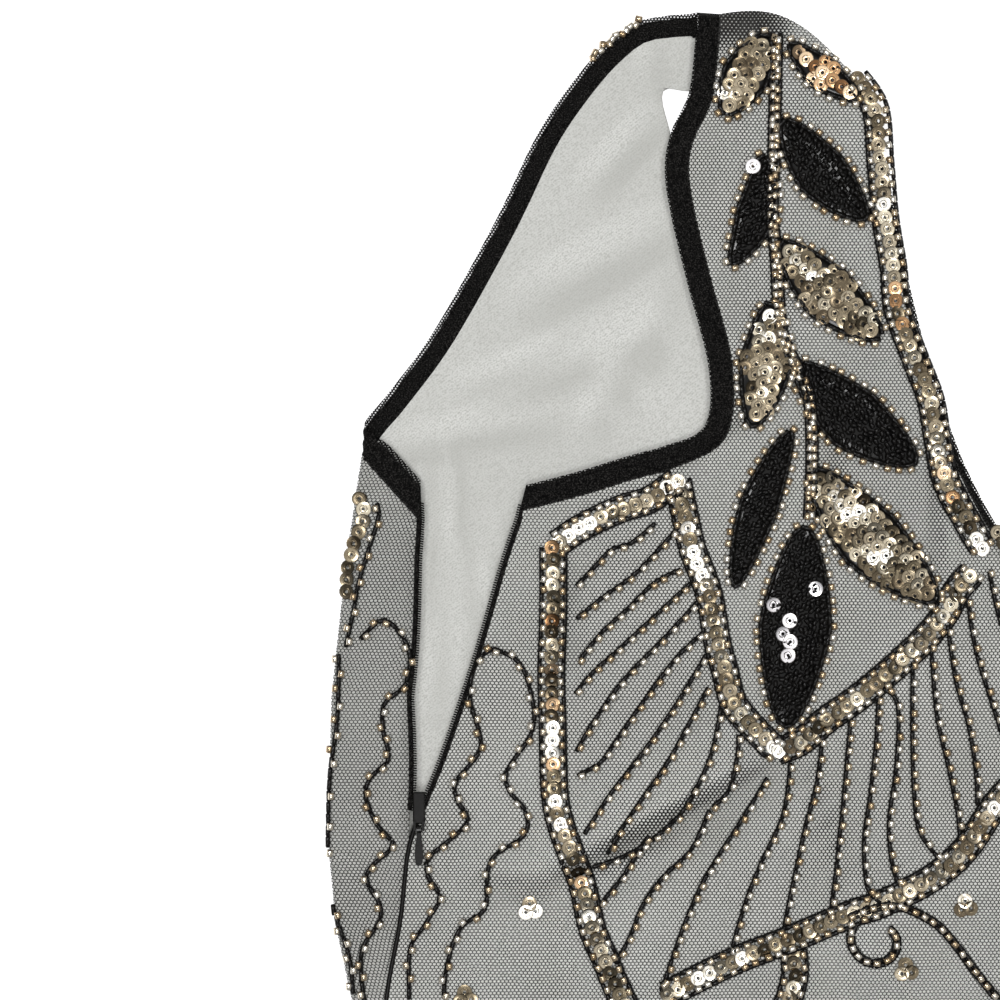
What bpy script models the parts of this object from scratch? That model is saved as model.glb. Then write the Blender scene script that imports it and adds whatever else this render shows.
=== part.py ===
# Evening dress laid flat: black net over a pale lining, V neck, zip open in the left side seam.
# +Y runs from hem to shoulder, +X to the right of someone who looks down on the front.
# Tables are in millimetres. "drop" is the distance below the shoulder top.
import math

import bmesh
import bpy
from mathutils import Vector

MM = 0.001
LENGTH = 1300.0
GAP = 0.3
WALL = 1.0

# The four layers lie about one middle plane. A radius is a layer's distance from it,
# and also the radius of the bend where that layer turns round a side fold.
LINING_RADIUS = GAP / 2 + WALL / 2
NET_RADIUS = LINING_RADIUS + WALL + GAP
OUTER_RADIUS = NET_RADIUS + WALL / 2
MIDDLE = OUTER_RADIUS
TOP = MIDDLE + OUTER_RADIUS

FRONT = 1
BACK = -1

BINDING_WIDTH = 8.5
BINDING_GAP = 0.6
TAPE_WIDTH = 1.7
NECK_WIDTH = 3.0
FLAT_SPANS = 6
BEND_STEPS = 3
LEAST_STEP = 1.4
MOST_SHARE = 0.7
LEAST_CROSSING = 0.1

# Side fold of the left side, drop and x. The right side has its mirror image.
FOLD = [
    (151, -216.6), (190, -222.4), (238, -227.6), (290, -228.6), (318, -225.9),
    (342, -220.7), (365, -215.5), (400, -210.0), (440, -209.0), (500, -214.5), (560, -226.0),
    (620, -237.0), (700, -248.0), (780, -255.5), (900, -264.0), (1020, -271.5), (1160, -280.5),
    (1300, -290.0),
]

# The front and the back are turned about the body against each other, so their
# centre lines lie apart at the bust and meet at the waist: drop, front x, back x.
CENTRE = [(0, 47, -25), (245, 47, -25), (300, 30, -16), (345, 13, -7), (400, 0, 0), (1300, 0, 0)]

# Armhole edge from shoulder to underarm: front x and drop, then back x and drop.
# The last back rows run on past the side fold, measured along the cloth.
ARMHOLE = [
    (-101.0, 1.4, -101.0, 1.4),
    (-101.9, 14.0, -112.0, 2.2),
    (-104.0, 30.0, -123.0, 5.0),
    (-110.0, 43.0, -134.8, 14.5),
    (-112.2, 56.0, -146.2, 28.3),
    (-110.0, 72.0, -157.0, 45.0),
    (-104.5, 95.0, -171.0, 74.0),
    (-97.0, 125.0, -191.7, 111.0),
    (-98.5, 144.5, -207.0, 132.0),
    (-112.0, 151.2, -214.3, 140.6),
    (-120.7, 153.6, -216.3, 143.2),
    (-122.8, 154.2, -218.3, 144.8),
    (-124.9, 154.8, -220.5, 146.4),
    (-127.0, 155.4, -222.5, 147.8),
    (-129.2, 156.1, -224.5, 149.2),
    (-143.0, 160.4, -226.8, 150.8),
    (-160.0, 164.8, -241.6, 163.1),
]

# Open zip: front x, x of the back strip that lies on top, and drop.
ZIP = [
    (-163.0, -196.0, 176.6),
    (-168.3, -196.9, 192.4),
    (-177.5, -198.1, 224.0),
    (-188.6, -198.8, 257.2),
    (-196.5, -199.3, 277.0),
]

# Closed seams: drop, then how far the seam lies in from the side fold.
SEAM_AT_FOLD = 4.0
SEAM = [
    (290, 28.0), (315, 22.8), (340, 13.2), (365, 6.0), (400, SEAM_AT_FOLD), (440, SEAM_AT_FOLD),
    (500, SEAM_AT_FOLD), (560, SEAM_AT_FOLD), (620, SEAM_AT_FOLD), (700, SEAM_AT_FOLD),
    (780, SEAM_AT_FOLD), (900, SEAM_AT_FOLD), (1020, SEAM_AT_FOLD), (1160, SEAM_AT_FOLD),
    (1300, SEAM_AT_FOLD),
]
RIGHT_ZIP_LEVEL_SEAM = [37.0, 36.5, 35.0, 32.5, 30.0]

# Armhole of the back's right half, which lies hidden under the front: x and drop.
BACK_RIGHT_ARMHOLE = [
    (195, 1.4), (192, 14), (178, 32), (150, 62), (138, 95), (142, 125), (155, 147), (181, 166),
]

# Necklines from shoulder to the point of the V: x and drop.
NECK_FRONT = [(-41, 28.3), (-36, 52), (-28.3, 93), (-18.3, 131), (-6.2, 163), (14, 197), (47, 242)]
NECK_BACK_LEFT_TOP = [(-41, 28.3), (-50, 32), (-78, 30.5), (-101, 28.5), (-112.5, 28.5)]
NECK_BACK_LEFT = [(-110, 43), (-103, 78), (-88, 125), (-66, 178), (-25, 240)]
NECK_BACK_RIGHT = [(135, 28.3), (122, 44), (84, 72), (54, 115), (18, 180), (-25, 240)]
SHOULDER_RISE = 11.0
# Which row of a panel meets how much of the neckline: row, share from shoulder to V.
NECK_SHARES = [(0, 0.0), (8, 0.62), (16, 0.88), (19, 1.0)]

# A panel's rows run from the shoulder down: armhole, open zip, closed seam.
CORNER_ROW = len(ARMHOLE) - 1
ZIP_ROWS = range(CORNER_ROW + 1, CORNER_ROW + 1 + len(ZIP))
ROWS = len(ARMHOLE) + len(ZIP) + len(SEAM)
NECK_ROW = ZIP_ROWS[2]

# Soft folds of the front. Creases: start x and drop, end x and drop, half width, height.
CREASES = [(-138, 296, -84, 262, 20, 1.6), (118, 306, 172, 276, 18, 1.4), (-30, 330, 60, 372, 30, 1.6)]
# Skirt folds: place across the half (0 at the centre, 1 at the side), side, height at the hem.
SKIRT_FOLDS = [(0.667, -1, 4.0), (0.167, -1, 3.0), (0.333, 1, 4.5), (0.833, 1, 3.0)]
SKIRT_START = 520.0
LINING_FOLD_SHARE = 0.8

# Beaded leaves on the left of the front: base x and drop, tip x and drop, width, bow, finish.
LEAVES = [
    (-77.5, 12.0, -91.5, 36.0, 13.5, 0.0, "gold"),
    (-68.0, 15.0, -46.5, 30.5, 8.0, 1.0, "gold"),
    (-70.3, 40.3, -43.5, 71.5, 13.8, 1.5, "black"),
    (-78.6, 53.0, -88.3, 87.0, 11.5, -3.0, "black"),
    (-71.0, 82.5, -39.0, 112.5, 15.5, 1.5, "gold"),
    (-76.2, 104.0, -81.7, 143.0, 13.5, -1.5, "gold"),
    (-65.5, 124.5, -27.0, 155.5, 17.5, 2.0, "black"),
    (-69.5, 148.0, -87.5, 197.5, 10.5, 1.5, "black"),
    (-60.0, 161.5, -20.0, 202.5, 19.0, 2.0, "gold"),
    (-64.5, 181.0, -70.3, 246.0, 22.0, 0.0, "black"),
]
LEAF_HEIGHT = 1.3
LEAF_SIDES = 12
LEAF_TOP_SHARE = 0.72
LEAF_POINTEDNESS = 0.35

# Zip slider and pull.
SLIDER_X = -196.9
SLIDER_DROP = 276.0
SLIDER_LENGTH = 11.0
SLIDER_WIDTH = 4.2
SLIDER_HEIGHT = 1.3
SLIDER_BEVEL = 0.45
EYE_INNER = 0.85
EYE_OUTER = 1.35
BAR_RADIUS = 0.5
ARM_THICKNESS = 0.8
ARM_CLEARANCE = 0.3
ARM_REACH = 0.6
ARM_ROOT = 1.0
PULL_NECK_HALF = 0.8
PULL_THICKNESS = 1.0
PULL_STEP = 0.65
# Outline of the teardrop: distance from the hinge, half width.
PULL_WIDTHS = [(3.0, 0.8), (5.0, 1.15), (7.5, 1.42), (10.0, 1.45), (11.8, 1.1), (12.6, 0.7)]
AXIS_BACK = 1.7
AXIS_RISE = 1.45
ROUND_SIDES = 12


def clear_scene():
    for found in list(bpy.data.objects):
        bpy.data.objects.remove(found, do_unlink=True)


def make_collection(name):
    found = bpy.data.collections.new(name)
    bpy.context.scene.collection.children.link(found)
    return found


def make_material(name, colour, roughness, metallic=0.0):
    made = bpy.data.materials.new(name)
    made.use_nodes = True
    shader = made.node_tree.nodes["Principled BSDF"]
    shader.inputs["Base Color"].default_value = (*colour, 1.0)
    shader.inputs["Roughness"].default_value = roughness
    shader.inputs["Metallic"].default_value = metallic
    return made


def read_table(table, drop, column):
    """Straight interpolation of one column against the first column, the drop."""
    if drop <= table[0][0]:
        return table[0][column]
    for upper, lower in zip(table, table[1:]):
        if drop <= lower[0]:
            share = (drop - upper[0]) / (lower[0] - upper[0])
            return upper[column] + share * (lower[column] - upper[column])
    return table[-1][column]


def along_curve(points, shares):
    """Samples, at shares from 0 to 1, of the Catmull-Rom curve through a list of points."""
    samples = []
    last = len(points) - 1
    for whole_share in shares:
        spot = whole_share * last
        span = min(int(spot), last - 1)
        share = spot - span
        corners = [Vector(points[min(max(span + step, 0), last)]) for step in (-1, 0, 1, 2)]
        before, start, end, after = corners
        samples.append(0.5 * (
            2 * start + (end - before) * share
            + (2 * before - 5 * start + 4 * end - after) * share ** 2
            + (3 * start - before - 3 * end + after) * share ** 3))
    return samples


def bend_centre(drop, side):
    """x of the centre of the bend at a side fold; side is -1 on the left, 1 on the right."""
    return side * (-read_table(FOLD, drop, 1) - OUTER_RADIUS)


def seam_position(drop, side, inset):
    """x along the cloth of a seam that lies beyond the fold, inset from it on the other face."""
    return bend_centre(drop, side) + side * (math.pi * NET_RADIUS + inset - OUTER_RADIUS)


def own_side_position(drop, side, inset):
    """x of the same seam for the panel that ends there on its own face."""
    return bend_centre(drop, side) - side * (inset - OUTER_RADIUS)


def fold_height(x, drop):
    """Height of the front's creases and skirt folds above the flat lay."""
    height = 0.0
    for start_x, start_drop, end_x, end_drop, half, rise in CREASES:
        run = Vector((end_x - start_x, end_drop - start_drop))
        share = min(max(Vector((x - start_x, drop - start_drop)).dot(run) / run.length_squared, 0), 1)
        away = (Vector((x - start_x, drop - start_drop)) - run * share).length
        height += rise * max(0.0, 1 - (away / half) ** 2) ** 2
    half_width = -read_table(FOLD, drop, 1)
    fade = min(max((drop - SKIRT_START) / (LENGTH - SKIRT_START), 0.0), 1.0)
    for place, side, rise in SKIRT_FOLDS:
        away = abs(x / half_width - place * side)
        height += rise * fade * max(0.0, 1 - away * FLAT_SPANS)
    return height


def place(x, drop, face, radius, lift=0.0):
    """Point in space of a spot on a layer. x is measured along the net, also where it turns
    round a side fold, and the other layers turn with it about the same centre."""
    height = face * radius
    for side in (-1, 1):
        past = side * (x - bend_centre(drop, side))
        if past > 0:
            turn = min(past / NET_RADIUS, math.pi)
            beyond = past - math.pi * NET_RADIUS
            reach = radius * math.sin(turn) if beyond <= 0 else -beyond
            x = bend_centre(drop, side) + side * reach
            height = face * radius * math.cos(turn)
            lift = 0.0
            break
    return Vector((x * MM, (LENGTH / 2 - drop) * MM, (MIDDLE + height + lift) * MM))


def mirror_front(point):
    """The front is even about its centre line down to the waist."""
    centre = read_table(CENTRE, point[1], 1)
    return Vector((2 * centre - point[0], point[1]))


def shift_edge(points, widths, side):
    """Edge moved into the cloth by each point's width; side is -1 for a left edge."""
    shifted = []
    for index, point in enumerate(points):
        before = points[max(index - 1, 0)]
        after = points[min(index + 1, len(points) - 1)]
        if index in (CORNER_ROW, CORNER_ROW + 1):
            before = before if index == CORNER_ROW else point
            after = point if index == CORNER_ROW else after
        run = (after - before).normalized()
        shifted.append(point - side * widths[index] * Vector((run.y, -run.x)))
    return shifted


def outer_edges():
    """The four outer edges along the cloth, one point a row: front and back, left and right."""
    front_left = [Vector((row[0], row[1])) for row in ARMHOLE]
    back_left = [Vector((row[2], row[3])) for row in ARMHOLE]
    front_right = [mirror_front(point) for point in front_left]
    back_right = along_curve(BACK_RIGHT_ARMHOLE, [row / CORNER_ROW for row in range(len(ARMHOLE))])
    for (front_x, strip_x, drop), inset in zip(ZIP, RIGHT_ZIP_LEVEL_SEAM):
        strip_inset = strip_x - read_table(FOLD, drop, 1)
        front_left.append(Vector((front_x, drop)))
        back_left.append(Vector((seam_position(drop, -1, strip_inset), drop)))
        front_right.append(Vector((seam_position(drop, 1, inset), drop)))
        back_right.append(Vector((own_side_position(drop, 1, inset), drop)))
    for drop, inset in SEAM:
        back_left.append(Vector((seam_position(drop, -1, inset), drop)))
        front_left.append(Vector((own_side_position(drop, -1, inset), drop)))
        front_right.append(Vector((seam_position(drop, 1, inset), drop)))
        back_right.append(Vector((own_side_position(drop, 1, inset), drop)))
    return front_left, back_left, front_right, back_right


def edge_widths(has_zip):
    """What lies between the outer edge and the panel on each row, with the gap to it."""
    tape = TAPE_WIDTH + GAP if has_zip else GAP / 2
    widths = [BINDING_WIDTH + BINDING_GAP] * len(ARMHOLE)
    widths += [tape] * len(ZIP)
    widths += [GAP / 2] * len(SEAM)
    return widths


def neck_edges(face):
    """Left and right neckline points, one a row down to the point of the V."""
    shares = [read_table(NECK_SHARES, row, 1) for row in range(NECK_ROW + 1)]
    if face == FRONT:
        left = along_curve(NECK_FRONT, shares)
        return left, [mirror_front(point) for point in left]
    left = [Vector(point) for point in NECK_BACK_LEFT_TOP]
    rest = NECK_ROW - len(left)
    left += along_curve(NECK_BACK_LEFT, [row / rest for row in range(rest + 1)])
    return left, along_curve(NECK_BACK_RIGHT, shares)


def shift_neck(left, right, width):
    """Both neckline halves moved into the cloth, which meet again below the V's point."""
    shifted = []
    ends = []
    for points, side in ((left, -1), (right, 1)):
        moved = []
        for index, point in enumerate(points):
            before = points[max(index - 1, 0)]
            after = points[min(index + 1, len(points) - 1)]
            run = (after - before).normalized()
            inward = side * Vector((run.y, -run.x))
            moved.append(point + inward * width)
        shifted.append(moved)
        ends.append(inward)
    mitre = (ends[0] + ends[1]) * width / (1 + ends[0].dot(ends[1]))
    for moved, points in zip(shifted, (left, right)):
        moved[-1] = points[-1] + mitre
    return shifted


def panel_edges(face):
    """Outer and inner points of both halves of a panel, one a row, inside its bindings."""
    front_left, back_left, front_right, back_right = outer_edges()
    left = front_left if face == FRONT else back_left
    right = front_right if face == FRONT else back_right
    left = shift_edge(left, edge_widths(True), -1)
    right = shift_edge(right, edge_widths(False), 1)
    neck_left, neck_right = neck_edges(face)
    inner_left, inner_right = shift_neck(neck_left, neck_right, NECK_WIDTH + GAP)
    column = 1 if face == FRONT else 2
    for row in range(len(inner_left), ROWS):
        drop = left[row].y
        centre = Vector((read_table(CENTRE, drop, column), drop))
        inner_left.append(centre)
        inner_right.append(centre)
    return left, inner_left, inner_right, right


def row_places(outer, inner, side):
    """Shares of a row, outer to inner, with steps round the fold and even ones beyond it."""
    length = (inner - outer).length
    past = side * (outer.x - bend_centre(outer.y, side))
    shares = [0.0]
    for step in range(BEND_STEPS + 1):
        turn = math.pi * (1 - step / BEND_STEPS)
        shares.append(max(past - NET_RADIUS * turn, LEAST_STEP * (step + 1)) / length)
    start = shares[-1]
    shares += [start + (1 - start) * step / FLAT_SPANS for step in range(1, FLAT_SPANS + 1)]
    return shares


def move_down(top, under, below):
    """A row moved towards the next one, by a distance square to the row."""
    moved = []
    for index, (spot, next_spot) in enumerate(zip(top, under)):
        run = (top[min(index + 1, len(top) - 1)] - top[max(index - 1, 0)]).normalized()
        way = (next_spot - spot).normalized()
        reach = MOST_SHARE * (next_spot - spot).length
        moved.append(spot + way * min(below / max(abs(run.cross(way)), LEAST_CROSSING), reach))
    return moved


def wall_point(spot, face, radius, share_of_fold):
    """Outer and inner point of a wall at one spot of its layer."""
    lift = share_of_fold * fold_height(spot.x, spot.y) if face == FRONT else 0.0
    return tuple(place(spot.x, spot.y, face, radius + half, lift) for half in (WALL / 2, -WALL / 2))


def shoulder_rows(top, under, face, radius):
    """First rows of a half: the net is turned in over the lining's end."""
    if radius != NET_RADIUS:
        return [[wall_point(spot, face, radius, 0.0) for spot in move_down(top, under, WALL + GAP)]]
    turned_in = []
    rounded = []
    for outer, inner in zip(top, move_down(top, under, WALL)):
        turned_in.append(tuple(place(spot.x, spot.y, face, GAP / 2) for spot in (outer, inner)))
        rounded.append((place(outer.x, outer.y, face, radius + WALL / 2),
                        place(inner.x, inner.y, face, radius - WALL / 2)))
    return [turned_in, rounded]


def half_rows(outer, inner, side, face, radius, share_of_fold):
    """Rows of wall points of one half of a panel, from its outer to its inner edge."""
    grid = []
    for row in range(ROWS):
        shares = row_places(outer[row], inner[row], side)
        spots = [outer[row].lerp(inner[row], share) for share in shares]
        if row == 0:
            spots = [spot - Vector((0.0, SHOULDER_RISE * math.sin(math.pi * share)))
                     for spot, share in zip(spots, shares)]
        grid.append(spots)
    rows = shoulder_rows(grid[0], grid[1], face, radius)
    for spots in grid[1:]:
        rows.append([wall_point(spot, face, radius, share_of_fold) for spot in spots])
    return rows


def add_object(name, bm, material, group):
    mesh = bpy.data.meshes.new(name)
    bm.to_mesh(mesh)
    bm.free()
    mesh.materials.append(material)
    made = bpy.data.objects.new(name, mesh)
    group.objects.link(made)
    return made


def build_wall(name, halves, material, group):
    """Closed wall: the outer face of each grid is laid, extruded, and its copy moved inside."""
    bm = bmesh.new()
    number = bm.verts.layers.int.new("number")
    inside = []
    for rows in halves:
        made = []
        for row in rows:
            made.append([bm.verts.new(outer) for outer, inner in row])
            for vert, (outer, inner) in zip(made[-1], row):
                vert[number] = len(inside)
                inside.append(inner)
        for upper, lower in zip(made, made[1:]):
            for index in range(len(upper) - 1):
                bm.faces.new((upper[index], upper[index + 1], lower[index + 1]))
                bm.faces.new((upper[index], lower[index + 1], lower[index]))
    bmesh.ops.remove_doubles(bm, verts=bm.verts, dist=MM * MM)
    grown = bmesh.ops.extrude_face_region(bm, geom=list(bm.faces))
    for item in grown["geom"]:
        if isinstance(item, bmesh.types.BMVert):
            item.co = inside[item[number]]
    bmesh.ops.triangulate(bm, faces=bm.faces)
    bm.normal_update()
    bmesh.ops.recalc_face_normals(bm, faces=bm.faces)
    return add_object(name, bm, material, group)


def build_panel(name, face, radius, share_of_fold, material, group):
    outer_left, inner_left, inner_right, outer_right = panel_edges(face)
    left = half_rows(outer_left, inner_left, -1, face, radius, share_of_fold)
    right = half_rows(outer_right, inner_right, 1, face, radius, share_of_fold)
    return build_wall(name, [left, right], material, group)


def build_edge(name, edge, shifted, face, material, group):
    """Narrow band, as thick as net and lining together, from an edge into the cloth."""
    rows = []
    for pair in zip(edge, shifted):
        rows.append([(place(spot.x, spot.y, face, OUTER_RADIUS), place(spot.x, spot.y, face, GAP / 2))
                     for spot in pair])
    return build_wall(name, [rows], material, group)


def build_armhole_bindings(material, group):
    edges = outer_edges()
    names = ("binding_left_front", "binding_left_back", "binding_right_front", "binding_right_back")
    faces = (FRONT, BACK, FRONT, BACK)
    sides = (-1, -1, 1, 1)
    for name, edge, face, side in zip(names, edges, faces, sides):
        shifted = shift_edge(edge, [BINDING_WIDTH] * ROWS, side)
        build_edge(name, edge[:CORNER_ROW + 1], shifted[:CORNER_ROW + 1], face, material, group)


def build_zip_tapes(material, group):
    front_left, back_left = outer_edges()[:2]
    for name, edge, face in (("zip_tape_front", front_left, FRONT), ("zip_tape_back", back_left, BACK)):
        shifted = shift_edge(edge, [TAPE_WIDTH] * ROWS, -1)
        rows = slice(ZIP_ROWS[0], ZIP_ROWS[-1] + 1)
        build_edge(name, edge[rows], shifted[rows], face, material, group)


def build_neck_edges(material, group):
    for name, face in (("neck_edge_front", FRONT), ("neck_edge_back", BACK)):
        left, right = neck_edges(face)
        inside_left, inside_right = shift_neck(left, right, NECK_WIDTH)
        inside = inside_left + inside_right[-2::-1]
        edge = left + right[-2::-1]
        build_edge(name, edge, inside, face, material, group)


def leaf_point(leaf, across, along, height):
    """Spot on a leaf: along runs -1 to 1 from base to tip, across -1 to 1 over its width."""
    base = Vector(leaf[0:2])
    tip = Vector(leaf[2:4])
    width, bow = leaf[4:6]
    run = (tip - base).normalized()
    over = Vector((-run.y, run.x))
    spot = base.lerp(tip, (along + 1) / 2)
    spot += over * (across * width / 2 + bow * (1 - along ** 2))
    return spot, height


def build_leaf(name, leaf, mirrored, material, group):
    """Raised pad: a low cone with its rings pressed to a leaf's outline."""
    bm = bmesh.new()
    bmesh.ops.create_cone(bm, cap_ends=True, segments=LEAF_SIDES, radius1=1.0,
                          radius2=LEAF_TOP_SHARE, depth=LEAF_HEIGHT)
    for vert in bm.verts:
        ring = math.hypot(vert.co.x, vert.co.y)
        along = vert.co.x
        across = vert.co.y * (1 - LEAF_POINTEDNESS * abs(vert.co.x / ring))
        spot, height = leaf_point(leaf, across, along, vert.co.z + LEAF_HEIGHT / 2)
        if mirrored:
            spot = mirror_front(spot)
        vert.co = Vector((spot.x, LENGTH / 2 - spot.y, TOP + GAP + height)) * MM
    bm.normal_update()
    bmesh.ops.recalc_face_normals(bm, faces=bm.faces)
    return add_object(name, bm, material, group)


def add_box(name, size, centre, material, group):
    bm = bmesh.new()
    bmesh.ops.create_cube(bm, size=1.0)
    bmesh.ops.scale(bm, vec=Vector(size) * MM, verts=bm.verts)
    made = add_object(name, bm, material, group)
    made.location = Vector(centre) * MM
    return made


def hide_cutter(made):
    made.hide_render = True
    made.display_type = "WIRE"


def axis_place():
    """Centre of the pull's hinge, in millimetres."""
    low_end = SLIDER_DROP + SLIDER_LENGTH / 2
    return Vector((SLIDER_X, LENGTH / 2 - low_end - AXIS_BACK, TOP + GAP + AXIS_RISE))


def build_slider(material, group, cutters):
    """Slider body with two arms and the bar that carries the pull, joined in one."""
    axis = axis_place()
    centre = (SLIDER_X, LENGTH / 2 - SLIDER_DROP, TOP + GAP + SLIDER_HEIGHT / 2)
    body = add_box("zip_slider", (SLIDER_WIDTH, SLIDER_LENGTH, SLIDER_HEIGHT), centre, material, group)
    soften = body.modifiers.new("soften", "BEVEL")
    soften.width = SLIDER_BEVEL * MM
    soften.segments = 2
    arm_reach = AXIS_BACK + ARM_REACH + ARM_ROOT
    arm_x = PULL_NECK_HALF + ARM_CLEARANCE + ARM_THICKNESS / 2
    pieces = []
    for side in (-1, 1):
        spot = (SLIDER_X + side * arm_x, axis.y - ARM_REACH + arm_reach / 2, axis.z)
        size = (ARM_THICKNESS, arm_reach, 2 * ARM_REACH)
        pieces.append(add_box("slider_arm", size, spot, material, cutters))
    bm = bmesh.new()
    bmesh.ops.create_cone(bm, cap_ends=True, segments=ROUND_SIDES, radius1=BAR_RADIUS * MM,
                          radius2=BAR_RADIUS * MM, depth=2 * arm_x * MM)
    bar = add_object("slider_bar", bm, material, cutters)
    bar.location = axis * MM
    bar.rotation_euler = (0.0, math.pi / 2, 0.0)
    pieces.append(bar)
    for piece in pieces:
        hide_cutter(piece)
        join = body.modifiers.new("join " + piece.name, "BOOLEAN")
        join.operation = "UNION"
        join.solver = "EXACT"
        join.object = piece
    return body


def pull_outline():
    """Side view of the pull about its hinge: y towards the shoulder, z up, with the eye."""
    low = -PULL_STEP - PULL_THICKNESS / 2
    high = -PULL_STEP + PULL_THICKNESS / 2
    first = math.pi - math.asin(high / EYE_OUTER)
    last = -math.pi - math.asin(low / EYE_OUTER)
    ring = []
    for step in range(ROUND_SIDES + 1):
        turn = first + (last - first) * step / ROUND_SIDES
        ring.append((EYE_OUTER * math.cos(turn), EYE_OUTER * math.sin(turn)))
    under = [(-run, low) for run, half in PULL_WIDTHS]
    over = [(-run, high) for run, half in reversed(PULL_WIDTHS)]
    return ring + under + over


def build_pull(material, group):
    """Pull with its origin on the hinge: a filled outline with an eye, given its width."""
    bm = bmesh.new()
    edges = []
    turns = [math.tau * step / ROUND_SIDES for step in range(ROUND_SIDES)]
    eye = [(EYE_INNER * math.cos(turn), EYE_INNER * math.sin(turn)) for turn in turns]
    for loop in (pull_outline(), eye):
        verts = [bm.verts.new((0.0, y, z)) for y, z in loop]
        edges += [bm.edges.new((verts[index - 1], verts[index])) for index in range(len(verts))]
    bmesh.ops.triangle_fill(bm, use_beauty=True, edges=edges)
    grown = bmesh.ops.extrude_face_region(bm, geom=list(bm.faces))
    moved = [item for item in grown["geom"] if isinstance(item, bmesh.types.BMVert)]
    for vert in bm.verts:
        vert.co.x = -1.0
    for vert in moved:
        vert.co.x = 1.0
    for vert in bm.verts:
        vert.co = Vector((vert.co.x * read_table(PULL_WIDTHS, -vert.co.y, 1), vert.co.y, vert.co.z)) * MM
    bmesh.ops.recalc_face_normals(bm, faces=bm.faces)
    made = add_object("zip_pull", bm, material, group)
    made.location = axis_place() * MM
    return made


def build_dress():
    clear_scene()
    group = make_collection("evening_dress")
    cutters = make_collection("cutters")
    net = make_material("black_net", (0.05, 0.05, 0.048), 0.85)
    lining = make_material("pale_lining", (0.6, 0.6, 0.57), 0.7)
    binding = make_material("black_binding", (0.012, 0.012, 0.012), 0.8)
    metal = make_material("black_zip", (0.01, 0.01, 0.01), 0.25, 0.6)
    gold = make_material("gold_sequins", (0.55, 0.46, 0.3), 0.3, 1.0)
    black = make_material("black_beads", (0.01, 0.01, 0.01), 0.15)
    build_panel("front_net", FRONT, NET_RADIUS, 1.0, net, group)
    build_panel("back_net", BACK, NET_RADIUS, 0.0, net, group)
    build_panel("front_lining", FRONT, LINING_RADIUS, LINING_FOLD_SHARE, lining, group)
    build_panel("back_lining", BACK, LINING_RADIUS, 0.0, lining, group)
    build_armhole_bindings(binding, group)
    build_zip_tapes(binding, group)
    build_neck_edges(binding, group)
    for number, leaf in enumerate(LEAVES, start=1):
        finish = gold if leaf[6] == "gold" else black
        build_leaf("leaf_left_%02d" % number, leaf, False, finish, group)
        build_leaf("leaf_right_%02d" % number, leaf, True, finish, group)
    build_slider(metal, group, cutters)
    build_pull(metal, group)


build_dress()
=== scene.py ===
# %% [markdown]
# # An evening dress laid flat
# The dress is black net, sewn with sequins and beads, over a pale crepe lining. It lies flat, so every
# layer is a thin sheet that follows the solid of its own panel. This file dresses those solids: it gives
# each layer its cut edge, its folds and its weave, and then sews the beads on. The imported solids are
# loaded first and are never moved, because everything here takes its place from them.

import math
import random

import bmesh
import bpy
import numpy as np
from mathutils import Matrix, Vector


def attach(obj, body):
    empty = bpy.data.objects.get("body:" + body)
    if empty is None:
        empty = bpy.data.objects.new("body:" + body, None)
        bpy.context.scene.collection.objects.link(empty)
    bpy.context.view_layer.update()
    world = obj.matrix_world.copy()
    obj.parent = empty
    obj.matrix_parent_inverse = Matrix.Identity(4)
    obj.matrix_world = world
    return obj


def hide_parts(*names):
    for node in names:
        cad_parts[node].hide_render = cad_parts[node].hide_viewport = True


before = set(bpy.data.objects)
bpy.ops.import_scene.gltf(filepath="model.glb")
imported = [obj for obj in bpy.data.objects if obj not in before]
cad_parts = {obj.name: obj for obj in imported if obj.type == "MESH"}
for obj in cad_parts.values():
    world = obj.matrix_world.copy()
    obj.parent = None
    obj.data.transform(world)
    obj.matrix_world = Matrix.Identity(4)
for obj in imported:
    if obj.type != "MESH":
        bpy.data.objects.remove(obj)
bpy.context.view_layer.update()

# %% [markdown]
# ## Sizes
# A garment maker works from a pattern: a few lengths and the outline of each panel. The same tables stand
# here in millimetres. "Drop" is how far a point lies below the top of the shoulder, and x runs to the right
# of someone who looks down on the front. A radius is a layer's distance from the middle of the dress, and
# also the radius with which that layer turns round the fold at its side.

# %% sizes of the dress
MM = 0.001
LENGTH = 1300.0
MIDDLE = 2.45
NET_RADIUS = 1.95
NET_FACE = 2.3
LINING_FACE = 1.9
BINDING_FACE = 2.45
BINDING_WIDTH = 8.5
TAPE_WIDTH = 1.7
NECK_WIDTH = 3.0
SHOULDER_RISE = 11.0
UNDER_BINDING = 7.8
FRONT = 1
BACK = -1
UP = Vector((0, 0, 1))

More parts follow.
